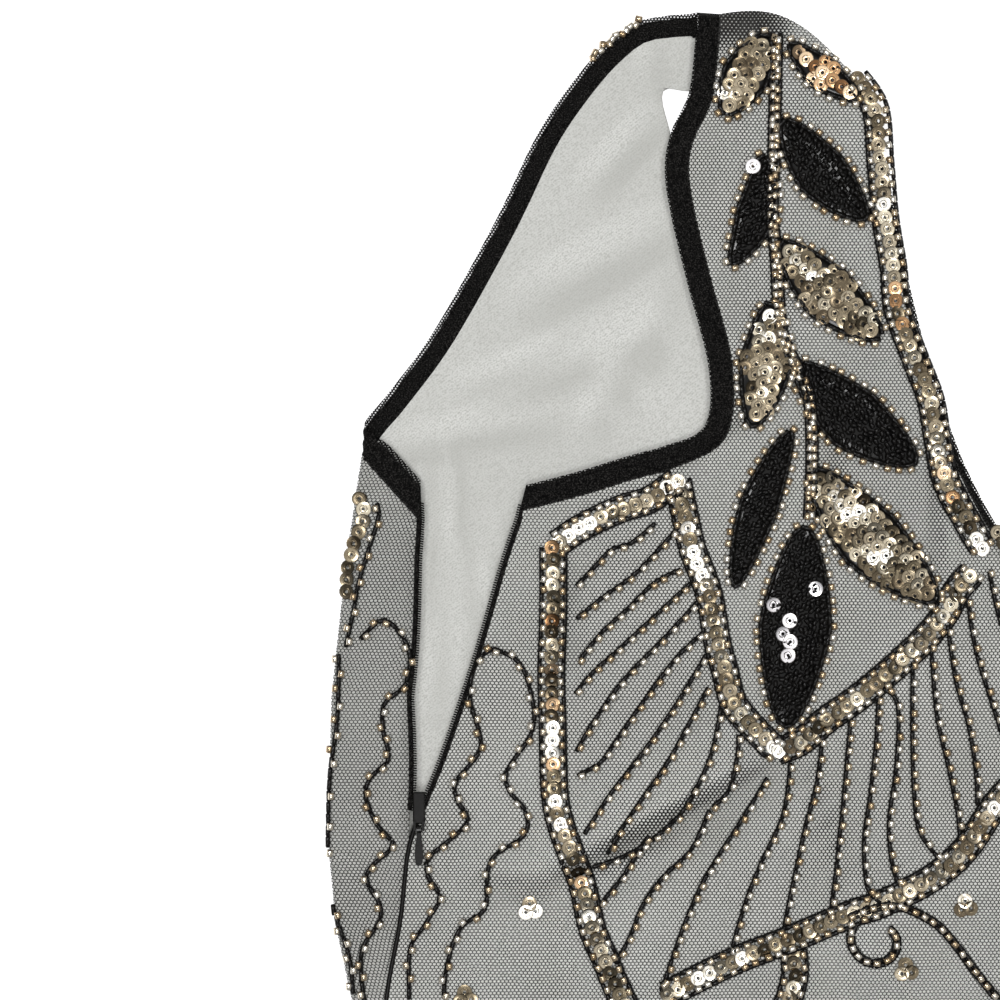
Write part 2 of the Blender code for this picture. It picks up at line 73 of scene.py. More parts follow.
FOLD = [
    (151, -216.6), (190, -222.4), (238, -227.6), (290, -228.6), (318, -225.9),
    (342, -220.7), (365, -215.5), (400, -210.0), (440, -209.0), (500, -214.5), (560, -226.0),
    (620, -237.0), (700, -248.0), (780, -255.5), (900, -264.0), (1020, -271.5), (1160, -280.5),
    (1300, -290.0),
]
CENTRE = [(0, 47, -25), (245, 47, -25), (300, 30, -16), (345, 13, -7), (400, 0, 0), (1300, 0, 0)]
ARMHOLE = [
    (-101.0, 1.4, -101.0, 1.4),
    (-101.9, 14.0, -112.0, 2.2),
    (-104.0, 30.0, -123.0, 5.0),
    (-110.0, 43.0, -134.8, 14.5),
    (-112.2, 56.0, -146.2, 28.3),
    (-110.0, 72.0, -157.0, 45.0),
    (-104.5, 95.0, -171.0, 74.0),
    (-97.0, 125.0, -191.7, 111.0),
    (-98.5, 144.5, -207.0, 132.0),
    (-112.0, 151.2, -214.3, 140.6),
    (-120.7, 153.6, -216.3, 143.2),
    (-122.8, 154.2, -218.3, 144.8),
    (-124.9, 154.8, -220.5, 146.4),
    (-127.0, 155.4, -222.5, 147.8),
    (-129.2, 156.1, -224.5, 149.2),
    (-143.0, 160.4, -226.8, 150.8),
    (-160.0, 164.8, -241.6, 163.1),
]
ZIP = [
    (-163.0, -196.0, 176.6),
    (-168.3, -196.9, 192.4),
    (-177.5, -198.1, 224.0),
    (-188.6, -198.8, 257.2),
    (-196.5, -199.3, 277.0),
]
ZIP_EDGES = [(drop, front_x, strip_x) for front_x, strip_x, drop in ZIP]
SEAM_AT_FOLD = 4.0
SEAM = [(290, 28.0), (315, 22.8), (340, 13.2), (365, 6.0)] + [
    (drop, SEAM_AT_FOLD) for drop in (400, 440, 500, 560, 620, 700, 780, 900, 1020, 1160, 1300)]
RIGHT_ZIP_LEVEL_SEAM = [37.0, 36.5, 35.0, 32.5, 30.0]
BACK_RIGHT_ARMHOLE = [
    (195, 1.4), (192, 14), (178, 32), (150, 62), (138, 95), (142, 125), (155, 147), (181, 166),
]
NECK_FRONT = [(-41, 28.3), (-36, 52), (-28.3, 93), (-18.3, 131), (-6.2, 163), (14, 197), (47, 242)]
NECK_BACK_LEFT_TOP = [(-41, 28.3), (-50, 32), (-78, 30.5), (-101, 28.5), (-112.5, 28.5)]
NECK_BACK_LEFT = [(-110, 43), (-103, 78), (-88, 125), (-66, 178), (-25, 240)]
NECK_BACK_RIGHT = [(135, 28.3), (122, 44), (84, 72), (54, 115), (18, 180), (-25, 240)]
NECK_SHARES = [(0, 0.0), (8, 0.62), (16, 0.88), (19, 1.0)]

CORNER_ROW = len(ARMHOLE) - 1
FIRST_ZIP_ROW = CORNER_ROW + 1
LAST_ZIP_ROW = CORNER_ROW + len(ZIP)
NECK_ROW = FIRST_ZIP_ROW + 2
ROWS = len(ARMHOLE) + len(ZIP) + len(SEAM)
print("pattern rows:", ROWS, "of which the armhole has", len(ARMHOLE))

# %% [markdown]
# ## Folds
# Cloth that lies flat still holds a few soft creases. They could come from a cloth simulation, but a laid
# garment has creases in known places, so each one is a straight line with a half width and a height. The
# large ones are in the solids too, and the small ones are only here. A negative height is a trough.

# %% creases: start x and drop, end x and drop, half width, height
CREASES = [(-138, 296, -84, 262, 20, 1.6), (118, 306, 172, 276, 18, 1.4), (-30, 330, 60, 372, 30, 1.6)]
SMALL_CREASES = [
    (-152, 300, -80, 262, 4.5, 2.1), (-150, 303, -108, 287, 5.0, -1.0), (-109, 156, -87, 141, 6.0, 1.4),
    (-87, 141, -84, 118, 5.0, 0.9), (-54, 148, -50, 178, 5.0, -0.8), (-19, 150, -17, 196, 4.0, -0.9),
    (-147, 188, -148, 226, 5.0, 0.8), (-176, 300, -150, 305, 6.0, 0.9), (-63, 258, -50, 300, 5.0, -0.8),
    (196, 226, 168, 262, 8.0, 1.2), (130, 170, 118, 214, 6.0, -0.8), (40, 300, 96, 318, 9.0, 1.0),
    (-120, 380, -40, 402, 12.0, 1.4), (30, 396, 130, 384, 12.0, 1.4), (-90, 430, 20, 470, 14.0, 1.2),
]
BACK_CREASES = [
    (-158, 100, -112, 76, 13.0, 2.4), (-178, 130, -118, 112, 10.0, 2.1), (-205, 152, -150, 140, 9.0, 1.5),
    (-186, 150, -181, 232, 4.5, 1.1), (-196, 160, -191, 246, 4.0, 0.9), (-140, 146, -112, 100, 9.0, 1.8),
    (-136, 60, -118, 40, 9.0, 1.8), (-119, 12, -115, 26, 6.0, 1.6), (-170, 176, -176, 222, 4.0, 0.8),
]
SKIRT_FOLDS = [(0.667, -1, 4.0), (0.167, -1, 3.0), (0.333, 1, 4.5), (0.833, 1, 3.0)]
SKIRT_START = 520.0
SKIRT_FOLD_SHARE = 6
SHADE_STEP = (0.9, 1.2)
CREASE_FAR = 120.0
BROAD_HALF = 18.0


def clamp(value):
    return min(max(value, 0.0), 1.0)


def read_table(table, drop, column):
    """Straight interpolation of one column against the first column."""
    if drop <= table[0][0]:
        return table[0][column]
    for upper, lower in zip(table, table[1:]):
        if drop <= lower[0]:
            share = (drop - upper[0]) / (lower[0] - upper[0])
            return upper[column] + share * (lower[column] - upper[column])
    return table[-1][column]


def crease_height(x, drop, creases):
    height = 0.0
    for start_x, start_drop, end_x, end_drop, half, rise in creases:
        if abs(x - start_x) > CREASE_FAR and abs(x - end_x) > CREASE_FAR:
            continue
        run = Vector((end_x - start_x, end_drop - start_drop))
        step = Vector((x - start_x, drop - start_drop))
        share = clamp(step.dot(run) / run.length_squared)
        away = (step - run * share).length
        taper = 1.0 if half >= BROAD_HALF else math.sin(math.pi * (0.15 + 0.7 * share))
        height += rise * taper * max(0.0, 1 - (away / half) ** 2) ** 2
    return height


def fold_shade(x, drop, creases):
    """How far the folds face the upper left, from which the photo's light seems to come."""
    across, down = SHADE_STEP
    far = crease_height(x + across, drop + down, creases)
    return (far - crease_height(x - across, drop - down, creases)) / (2 * math.hypot(across, down))


def front_lift(x, drop):
    """How far the front stands above its flat lay."""
    height = crease_height(x, drop, CREASES + SMALL_CREASES)
    half_width = -read_table(FOLD, drop, 1)
    fade = clamp((drop - SKIRT_START) / (LENGTH - SKIRT_START))
    for spot, side, rise in SKIRT_FOLDS:
        away = abs(x / half_width - spot * side)
        height += rise * fade * max(0.0, 1 - away * SKIRT_FOLD_SHARE)
    return height


print("lift at the crease under the bust:", round(front_lift(-110, 278), 2), "mm")

# %% [markdown]
# ## From the pattern to space
# One function bends every layer. Its x is measured along the net, so a panel that runs on past the side
# fold turns under by itself, and the layers inside it turn about the same centre and stay parallel.

# %% points on the layers


def bend_centre(drop, side):
    return side * (-read_table(FOLD, drop, 1) - MIDDLE)


def place(x, drop, face, radius, lift=0.0):
    """Point in space, in metres, of a spot on a layer."""
    height = face * radius
    for side in (-1, 1):
        past = side * (x - bend_centre(drop, side))
        if past > 0:
            turn = min(past / NET_RADIUS, math.pi)
            beyond = past - math.pi * NET_RADIUS
            reach = radius * math.sin(turn) if beyond <= 0 else -beyond
            x = bend_centre(drop, side) + side * reach
            height = face * radius * math.cos(turn)
            lift = 0.0
            break
    return Vector((x * MM, (LENGTH / 2 - drop) * MM, (MIDDLE + height + lift) * MM))


def on_top(x, drop, rise=0.0):
    """Point on the upper side seen from above, with a rise, and the surface's own up there."""
    side = -1 if x < 0 else 1
    past = side * (x - bend_centre(drop, side))
    if past > 0:
        lean = math.asin(min(past / NET_FACE, 0.98))
        up = Vector((side * math.sin(lean), 0.0, math.cos(lean)))
        centre = Vector((bend_centre(drop, side), LENGTH / 2 - drop, MIDDLE))
        return (centre + up * (NET_FACE + rise)) * MM, up
    step = 2.0
    slope_x = (front_lift(x + step, drop) - front_lift(x - step, drop)) / (2 * step)
    slope_y = (front_lift(x, drop - step) - front_lift(x, drop + step)) / (2 * step)
    up = Vector((-slope_x, -slope_y, 1.0)).normalized()
    base = Vector((x, LENGTH / 2 - drop, MIDDLE + NET_FACE + front_lift(x, drop)))
    return (base + up * rise) * MM, up


def between(corners, share):
    """Point on the smooth curve between the middle two of four points."""
    before, start, end, after = corners
    return 0.5 * (2 * start + (end - before) * share
                  + (2 * before - 5 * start + 4 * end - after) * share ** 2
                  + (3 * start - before - 3 * end + after) * share ** 3)


def curve_through(points, shares):
    """Samples, at shares from 0 to 1, of the smooth curve through a list of points."""
    samples = []
    last = len(points) - 1
    for whole_share in shares:
        spot = whole_share * last
        span = min(int(spot), last - 1)
        share = spot - span
        corners = [Vector(points[min(max(span + step, 0), last)]) for step in (-1, 0, 1, 2)]
        samples.append(between(corners, share))
    return samples


def mirror_front(point):
    """The same spot on the other side of the centre front."""
    return Vector((2 * read_table(CENTRE, point[1], 1) - point[0], point[1]))


print("left fold at the bust:", place(-240, 238, BACK, NET_FACE))

# %% [markdown]
# ## Camera, floor and light
# The photograph looks straight down on the upper left of a dress that lies on a white table, so the camera
# does too. A long lens keeps the flat shape free of distortion. The table is a plain sheet. A large soft
# light close to the camera hides the shadows of the net behind its own threads, and two smaller panels at
# the sides give the sequins something bright to mirror.

# %% camera
VIEW_X = -169.0
VIEW_Y = 480.0
VIEW_WIDTH = 344.8
LENS = 85.0
SENSOR = 36.0


def add_object(name, data):
    made = bpy.data.objects.new(name, data)
    bpy.context.scene.collection.objects.link(made)
    return made


camera_data = bpy.data.cameras.new("camera")
camera_data.lens = LENS
camera_data.sensor_width = SENSOR
camera = add_object("camera", camera_data)
camera_height = VIEW_WIDTH * LENS / SENSOR + 2 * MIDDLE
camera.location = Vector((VIEW_X, VIEW_Y, camera_height)) * MM
bpy.context.scene.camera = camera
bpy.context.scene.view_settings.view_transform = "Standard"
print("camera height", round(camera_height), "mm")

# %% floor
FLOOR_SIZE = 12.0
bm = bmesh.new()
bmesh.ops.create_grid(bm, x_segments=1, y_segments=1, size=FLOOR_SIZE / 2)
floor_mesh = bpy.data.meshes.new("floor")
bm.to_mesh(floor_mesh)
bm.free()
floor_mesh.transform(Matrix.Translation((0.0, 0.0, -0.0002)))
floor = add_object("floor", floor_mesh)
floor_material = bpy.data.materials.new("floor_paper")
floor_material.use_nodes = True
floor_shader = floor_material.node_tree.nodes["Principled BSDF"]
floor_shader.inputs["Base Color"].default_value = (0.86, 0.86, 0.86, 1.0)
floor_shader.inputs["Roughness"].default_value = 0.9
floor_shader.inputs["Specular IOR Level"].default_value = 0.0
floor_shader.inputs["Emission Color"].default_value = (1.0, 1.0, 1.0, 1.0)
floor_shader.inputs["Emission Strength"].default_value = 0.6
floor_mesh.materials.append(floor_material)
print("floor", FLOOR_SIZE, "m wide")

# %% lights: name, place, size, watts
LIGHTS = [
    ("soft_top", (0.10, 0.55, 2.4), 2.8, 24.0),
    ("panel_left", (-0.95, 0.90, 1.9), 0.34, 12.0),
    ("panel_right", (0.50, 1.05, 2.0), 0.30, 7.0),
    ("panel_low", (-0.25, -0.30, 1.8), 0.30, 6.0),
]
LIGHT_TARGET = Vector((-0.15, 0.45, 0.0))
for name, spot, size, watts in LIGHTS:
    light = bpy.data.lights.new(name, "AREA")
    light.shape = "SQUARE"
    light.size = size
    light.energy = watts
    lamp = add_object(name, light)
    lamp.location = spot
    lamp.rotation_mode = "QUATERNION"
    lamp.rotation_quaternion = (LIGHT_TARGET - Vector(spot)).to_track_quat("-Z", "Y")
world = bpy.data.worlds.new("studio")
world.use_nodes = True
world.node_tree.nodes["Background"].inputs["Color"].default_value = (0.97, 0.985, 1.0, 1.0)
world.node_tree.nodes["Background"].inputs["Strength"].default_value = 0.2
bpy.context.scene.world = world
print(len(LIGHTS), "lights")

# %% [markdown]
# ## Writing a material as sums
# A material is a graph of nodes, but its maths reads best as plain sums. The class Wire holds one output
# of a node, and its operators add the Math nodes. Paint holds one material, and its method add makes any
# other node from its type, its settings and the values of its sockets.

# %% a small language for materials


class Wire:
    def __init__(self, paint, socket):
        self.paint = paint
        self.socket = socket

    def math(self, operation, *others):
        return self.paint.sum(operation, self, *others)

    def __add__(self, other):
        return self.math("ADD", other)

    def __radd__(self, other):
        return self.paint.sum("ADD", other, self)

    def __sub__(self, other):
        return self.math("SUBTRACT", other)

    def __rsub__(self, other):
        return self.paint.sum("SUBTRACT", other, self)

    def __mul__(self, other):
        return self.math("MULTIPLY", other)

    def __rmul__(self, other):
        return self.paint.sum("MULTIPLY", other, self)

    def __truediv__(self, other):
        return self.math("DIVIDE", other)

    def step(self, low, high):
        """0 below low and 1 above high, with a soft change between."""
        sockets = {"Value": self, "From Min": low, "From Max": high}
        return self.paint.add("ShaderNodeMapRange", {"interpolation_type": "SMOOTHSTEP"}, sockets)


class Paint:
    def __init__(self, name, roughness, metallic=0.0):
        self.material = bpy.data.materials.new(name)
        self.material.use_nodes = True
        self.tree = self.material.node_tree
        self.shader = self.tree.nodes["Principled BSDF"]
        self.shader.inputs["Roughness"].default_value = roughness
        self.shader.inputs["Metallic"].default_value = metallic

    def join(self, value, target):
        if isinstance(value, Wire):
            self.tree.links.new(value.socket, target)
        elif hasattr(value, "__len__") and len(value) == 3 and len(target.default_value) == 4:
            target.default_value = (*value, 1.0)
        else:
            target.default_value = value

    def add(self, kind, settings=None, inputs=None, output=0):
        node = self.tree.nodes.new(kind)
        for key, value in (settings or {}).items():
            if key == "stops":
                while len(node.color_ramp.elements) < len(value):
                    node.color_ramp.elements.new(1.0)
                for stop, (spot, colour) in zip(node.color_ramp.elements, value):
                    stop.position = spot
                    stop.color = (*colour, 1.0)
            else:
                setattr(node, key, value)
        for key, value in (inputs or {}).items():
            self.join(value, node.inputs[key])
        return Wire(self, node.outputs[output])

    def sum(self, operation, *values):
        return self.add("ShaderNodeMath", {"operation": operation}, dict(enumerate(values)))

    def surface(self, name, value):
        self.join(value, self.shader.inputs[name])

    def attribute(self, name, part):
        """One part, 0 to 2, of an attribute that the mesh carries."""
        vector = self.add("ShaderNodeAttribute", {"attribute_name": name}, output="Vector")
        return self.add("ShaderNodeSeparateXYZ", inputs={0: vector}, output=part)

    def noise(self, scale, detail=2.0):
        place_in = self.add("ShaderNodeTexCoord", output="Object")
        sockets = {"Vector": place_in, "Scale": scale, "Detail": detail}
        return self.add("ShaderNodeTexNoise", inputs=sockets, output="Fac")

    def blend(self, share, colour_a, colour_b):
        sockets = {"Factor": share, 6: colour_a, 7: colour_b}
        return self.add("ShaderNodeMix", {"data_type": "RGBA"}, sockets, output=2)

    def bump(self, height, strength, distance):
        sockets = {"Height": height, "Strength": strength, "Distance": distance}
        self.surface("Normal", self.add("ShaderNodeBump", inputs=sockets))


print("materials are written as sums")

# %% [markdown]
# ## Net
# The net is a machine-made tulle with six-sided cells about a millimetre and a half wide. Modelled thread by
# thread it would take millions of faces, so the sheet is one surface and the material leaves the cells
# open with Alpha. Two grids of points, the second shifted by half a cell, cover a honeycomb: a spot lies in
# the cell whose centre is nearer, and it is thread where it lies close to the cell's edge. The pattern
# follows the attribute "cloth", which holds the place on the flat pattern, so it bends with the net. Where
# the net is doubled at the shoulder, the threads are drawn wider. In the creases they are drawn wider too,
# partly for the net that bunches there and partly as painted shade of the crease.

# %% net material
CELL = 1.40
CELL_STRETCH = 0.84
THREAD = 0.29


def honeycomb(across, down, cell):
    """How far a spot lies from its cell's centre, as a share of the cell: one half at the edge."""
    row = cell * math.sqrt(3.0) * CELL_STRETCH
    reaches = []
    for shift in (0.0, 0.5):
        x = (across / cell + shift).math("FRACT") - 0.5
        y = ((down / row + shift).math("FRACT") - 0.5) * math.sqrt(3.0)
        x = x.math("ABSOLUTE")
        y = y.math("ABSOLUTE")
        reaches.append(x.math("MAXIMUM", x * 0.5 + y * (math.sqrt(3.0) / 2)))
    return reaches[0].math("MINIMUM", reaches[1])


def threads(across, down, cell, width):
    """1 on the threads of a net and 0 in its cells."""
    edge = 0.5 - width / (2 * cell)
    reach = honeycomb(across, down, cell)
    return (reach - edge).step(-0.05, 0.05)


def net_place(paint):
    """Place on the flat pattern in millimetres, with the small wander of a soft net."""
    wander = paint.noise(90.0, 1.0)
    across = paint.attribute("cloth", 0) + (wander - 0.5) * 0.9
    down = paint.attribute("cloth", 1) + (wander - 0.5) * 0.7
    return across, down


def make_net():
    paint = Paint("black_net", 0.62)
    across, down = net_place(paint)
    # The third part of "cloth" widens the threads: for the doubled net at the shoulder, and in the creases
    # partly for bunched net and partly as painted shade.
    wider_threads = paint.attribute("cloth", 2)
    width = paint.noise(28.0, 2.0) * 0.16 + (THREAD - 0.08) + wider_threads * 0.6
    cover = threads(across, down, CELL, width)
    paint.surface("Alpha", cover)
    tone = paint.noise(420.0, 2.0)
    paint.surface("Base Color", paint.blend(tone, (0.003, 0.003, 0.003), (0.042, 0.040, 0.037)))
    paint.bump(cover, 0.4, 0.0001)
    paint.shader.inputs["Specular IOR Level"].default_value = 0.2
    return paint.material


net_material = make_net()
print("net cells are", CELL, "mm wide, threads", THREAD, "mm")

# %% [markdown]
# ## Lining
# The lining is a fine crepe: matt, pale and faintly ribbed on the slant. The ribs are a wave across the
# cloth, broken up by noise, which only moves the surface by a few hundredths of a millimetre. Its colour
# drifts slightly where the cloth takes the light differently. The front piece only shows through the net.
# Its colour is lighter here, because the threads above it keep off more light than in the photo. The folds
# are low, so their light and dark sides are also in the colour, from the slope that the mesh carries.

# %% lining material
FOLD_SHADE = 2.6
LINING_TONES = (0.545, 0.710, 0.44)
RIB_WIDTH = 0.95


def make_lining(name, lightness):
    paint = Paint(name, 0.78)
    across = paint.attribute("cloth", 0)
    down = paint.attribute("cloth", 1)
    slant = (across * 0.62 + down * 0.78 + paint.noise(160.0, 2.0) * 2.6) * (math.tau / RIB_WIDTH)
    rib = slant.math("SINE") * 0.5 + 0.5
    grain = paint.noise(1700.0, 2.0)
    drift = paint.noise(11.0, 2.0)
    dark, light, hollow = [(tone * lightness, tone * lightness, (tone - 0.03) * lightness)
                           for tone in LINING_TONES]
    fold = paint.attribute("cloth", 2) * FOLD_SHADE
    base = paint.blend(drift * 1.4 - 0.2 + fold, dark, light)
    pebble = (grain - 0.5) * 2.8 + rib * 0.35 + 0.1
    shade = paint.blend(pebble, base, hollow)
    paint.surface("Base Color", shade)
    paint.bump(rib * 0.5 + grain, 0.6, 0.00008)
    paint.shader.inputs["Sheen Weight"].default_value = 0.15
    return paint.material


lining_material = make_lining("pale_crepe", 1.0)
front_lining_material = make_lining("pale_crepe_front", 1.22)
print("linings are", lining_material.name, "and", front_lining_material.name)

# %% [markdown]
# ## Binding
# The armholes are bound with the same net, folded over and over until it is nearly opaque, with one layer
# left loose at the free edge. So one material serves the whole band: solid black in the middle, open net at
# the armhole's edge, and a fringe of doubled threads where it meets the panel. The attribute "band" holds the
# place across the band, from 0 at the armhole to 1 at the panel.

# %% binding material
BAND_CELL = 1.15
BAND_THREAD = 0.52


def make_binding(name, open_until, close_after):
    paint = Paint(name, 0.72)
    across, down = net_place(paint)
    band = paint.attribute("band", 0) + (paint.noise(260.0, 2.0) - 0.5) * 0.10
    thread = threads(across, down, BAND_CELL, BAND_THREAD)
    solid = band.step(open_until - 0.03, open_until + 0.03)
    solid = solid * (1.0 - band.step(close_after - 0.02, close_after + 0.05))
    paint.surface("Alpha", thread.math("MAXIMUM", solid))
    tone = paint.noise(2200.0, 2.0)
    worn = paint.blend(tone.step(0.4, 0.7), (0.001, 0.001, 0.001), (0.016, 0.015, 0.014))
    paint.surface("Base Color", paint.blend(thread * tone.step(0.5, 0.7) * 0.7, worn, (0.042, 0.040, 0.038)))
    paint.bump(thread + tone * 0.6, 0.7, 0.00012)
    paint.shader.inputs["Specular IOR Level"].default_value = 0.04
    return paint.material


binding_material = make_binding("black_binding", 0.07, 0.96)
open_binding_material = make_binding("black_binding_open", 0.16, 0.97)
neck_material = make_binding("black_neck_edge", 0.30, 2.0)
tape_material = make_binding("black_tape", -1.0, 2.0)
print("four bands share one recipe")

# %% [markdown]
# ## Panels
# Each panel is a flat grid that is moved into place: its rows run from the shoulder to the hem, its columns
# from the side to the centre. The rows lie between the same cut edges as in the solid, read more finely, and
# the columns are closer together where the cloth turns round the side fold. At the shoulder the sheet
# rounds over to meet the other panel.

# %% cut edges


def edge_point(points, row):
    """Point of an edge at any row, also between two. Corners and straight seams stay as they are."""
    upper = min(int(row), len(points) - 2)
    share = row - upper
    if share < 1e-6 or upper == CORNER_ROW or upper == LAST_ZIP_ROW:
        return points[upper].lerp(points[upper + 1], share)
    first = 0 if upper < CORNER_ROW else FIRST_ZIP_ROW
    last = CORNER_ROW if upper < CORNER_ROW else len(points) - 1
    return between([points[min(max(upper + step, first), last)] for step in (-1, 0, 1, 2)], share)


def seam_position(drop, side, inset):
    return bend_centre(drop, side) + side * (math.pi * NET_RADIUS + inset - MIDDLE)


def own_side_position(drop, side, inset):
    return bend_centre(drop, side) - side * (inset - MIDDLE)


def outer_edges():
    """The four outer edges along the cloth, one point a row: front and back, left and right."""
    front_left = [Vector((row[0], row[1])) for row in ARMHOLE]
    back_left = [Vector((row[2], row[3])) for row in ARMHOLE]
    front_right = [mirror_front(point) for point in front_left]
    back_right = curve_through(BACK_RIGHT_ARMHOLE, [row / CORNER_ROW for row in range(len(ARMHOLE))])
    for (front_x, strip_x, drop), inset in zip(ZIP, RIGHT_ZIP_LEVEL_SEAM):
        strip_inset = strip_x - read_table(FOLD, drop, 1)
        front_left.append(Vector((front_x, drop)))
        back_left.append(Vector((seam_position(drop, -1, strip_inset), drop)))
        front_right.append(Vector((seam_position(drop, 1, inset), drop)))
        back_right.append(Vector((own_side_position(drop, 1, inset), drop)))
    for drop, inset in SEAM:
        back_left.append(Vector((seam_position(drop, -1, inset), drop)))
        front_left.append(Vector((own_side_position(drop, -1, inset), drop)))
        front_right.append(Vector((seam_position(drop, 1, inset), drop)))
        back_right.append(Vector((own_side_position(drop, 1, inset), drop)))
    return front_left, back_left, front_right, back_right


def shift_edge(points, widths, side):
    """Edge moved into the cloth by each point's width; side is -1 for a left edge."""
    shifted = []
    for index, point in enumerate(points):
        before = points[max(index - 1, 0)] if index != CORNER_ROW + 1 else point
        after = points[min(index + 1, len(points) - 1)] if index != CORNER_ROW else point
        run = (after - before).normalized()
        inward = -side * Vector((run.y, -run.x))
        if index == CORNER_ROW:
            along_zip = (points[index + 1] - point).normalized()
            inward = along_zip / abs(along_zip.dot(inward))
        shifted.append(point + widths[index] * inward)
    return shifted


def neck_edges(face):
    """Left and right neckline points, one a row down to the point of the V."""
    shares = [read_table(NECK_SHARES, row, 1) for row in range(NECK_ROW + 1)]
    if face == FRONT:
        left = curve_through(NECK_FRONT, shares)
        return left, [mirror_front(point) for point in left]
    left = [Vector(point) for point in NECK_BACK_LEFT_TOP]
    rest = NECK_ROW - len(left)
    left += curve_through(NECK_BACK_LEFT, [row / rest for row in range(rest + 1)])
    return left, curve_through(NECK_BACK_RIGHT, shares)


def shift_neck(left, right, width):
    """Both neckline halves moved into the cloth, which meet again below the V's point."""
    shifted = []
    ends = []
    for points, side in ((left, -1), (right, 1)):
        moved = []
        for index, point in enumerate(points):
            run = points[min(index + 1, len(points) - 1)] - points[max(index - 1, 0)]
            inward = side * Vector((run.y, -run.x)).normalized()
            moved.append(point + inward * width)
        shifted.append(moved)
        ends.append(inward)
    mitre = (ends[0] + ends[1]) * width / (1 + ends[0].dot(ends[1]))
    for moved, points in zip(shifted, (left, right)):
        moved[-1] = points[-1] + mitre
    return shifted


def panel_edges(face, side, neck_cover):
    """Outer and inner edge of one half of a panel, which runs a little under its bindings."""
    edges = outer_edges()
    edge = edges[0 if face == FRONT else 1] if side < 0 else edges[2 if face == FRONT else 3]
    tape = TAPE_WIDTH * 0.6 if side < 0 else 0.0
    widths = [UNDER_BINDING] * len(ARMHOLE) + [tape] * len(ZIP) + [0.0] * len(SEAM)
    outer = shift_edge(edge, widths, side)
    inner = shift_neck(*neck_edges(face), neck_cover)[0 if side < 0 else 1]
    column = 1 if face == FRONT else 2
    for point in outer[len(inner):]:
        inner.append(Vector((read_table(CENTRE, point.y, column), point.y)))
    return outer, inner


print("edges have", len(outer_edges()[0]), "rows")

# %% rows and columns of a sheet
FINE_STEP = 4.0
COARSE_STEP = 11.0
FINE_UNTIL = 360.0
STRIP_COLUMNS = 4
BEND_COLUMNS = 8
FLAT_COLUMNS = 40
SHOULDER_ROUND = 2.2
FOLDED_RADIUS = 0.2
TOP_ROWS = 6
LINING_THICKNESS = 0.4
LINING_OVER = 0.5
# How much wider the threads are drawn in a crease, for bunched net and as painted shade.
GATHER_AND_SHADE = 0.3
DOUBLED_DEPTH = 8.0
DOUBLED_UNTIL = -66.0
DOUBLED_FADE = 12.0


def fine_rows(edge):
    """Row numbers, also between the pattern's rows, in steps that suit the cloth."""
    rows = [share / TOP_ROWS for share in range(TOP_ROWS)]
    for upper in range(1, len(edge) - 1):
        length = (edge[upper + 1] - edge[upper]).length
        step = FINE_STEP if edge[upper].y < FINE_UNTIL else COARSE_STEP
        count = max(1, round(length / step))
        rows += [upper + share / count for share in range(count)]
    return rows + [len(edge) - 1.0]


def column_shares(outer, inner, side):
    """Shares of a row from its side to its middle, close together round the fold."""
    length = (inner - outer).length
    past = side * (outer.x - bend_centre(outer.y, side))
    keys = [0.0]
    for number, turn in enumerate((math.pi, 0.0)):
        keys.append(max(past - NET_RADIUS * turn, 1.4 * (number + 1)) / length)
    keys.append(1.0)
    shares = [0.0]
    for start, end, count in zip(keys, keys[1:], (STRIP_COLUMNS, BEND_COLUMNS, FLAT_COLUMNS)):
        shares += [start + (end - start) * step / count for step in range(1, count + 1)]
    return shares


def grid_mesh(columns, rows, point_at, attributes):
    """A grid of columns and rows whose points are moved by point_at, with what each point carries."""
    bm = bmesh.new()
    bmesh.ops.create_grid(bm, x_segments=columns, y_segments=rows, size=0.5)
    layers = {key: bm.verts.layers.float_vector.new(key) for key in attributes}
    for vert in bm.verts:
        column = round((vert.co.x + 0.5) * columns)
        row = round((0.5 - vert.co.y) * rows)
        vert.co, carried = point_at(column, row)
        for key, layer in layers.items():
            vert[layer] = carried[key]
    return bm


print("a sheet has", STRIP_COLUMNS + BEND_COLUMNS + FLAT_COLUMNS, "columns a half and",
      len(fine_rows(outer_edges()[0])), "rows")

# %% from a bmesh to a finished object


def finish_object(name, bm, material):
    mesh = bpy.data.meshes.new(name)
    bm.to_mesh(mesh)
    bm.free()
    mesh.materials.append(material)
    mesh.shade_smooth()
    made = add_object(name, mesh)
    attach(made, "dress")
    return made


def gather(joined, bm, flipped=False):
    """Adds one bmesh to another, with its faces turned over if asked."""
    if flipped:
        bmesh.ops.reverse_faces(bm, faces=bm.faces)
    part = bpy.data.meshes.new("part")
    bm.to_mesh(part)
    bm.free()
    joined.from_mesh(part)
    bpy.data.meshes.remove(part)


def thicken(made, thickness):
    wall = made.modifiers.new("thickness", "SOLIDIFY")
    wall.thickness = thickness * MM
    wall.offset = -1.0


print("linings are", LINING_THICKNESS, "mm thick")

# %% the four sheets


def round_over(radius, below):
    """Radius of a layer near the shoulder fold, where it turns down to the middle."""
    if below >= SHOULDER_ROUND:
        return radius
    return radius - (radius - FOLDED_RADIUS) * (1 - math.sqrt(1 - (1 - below / SHOULDER_ROUND) ** 2))


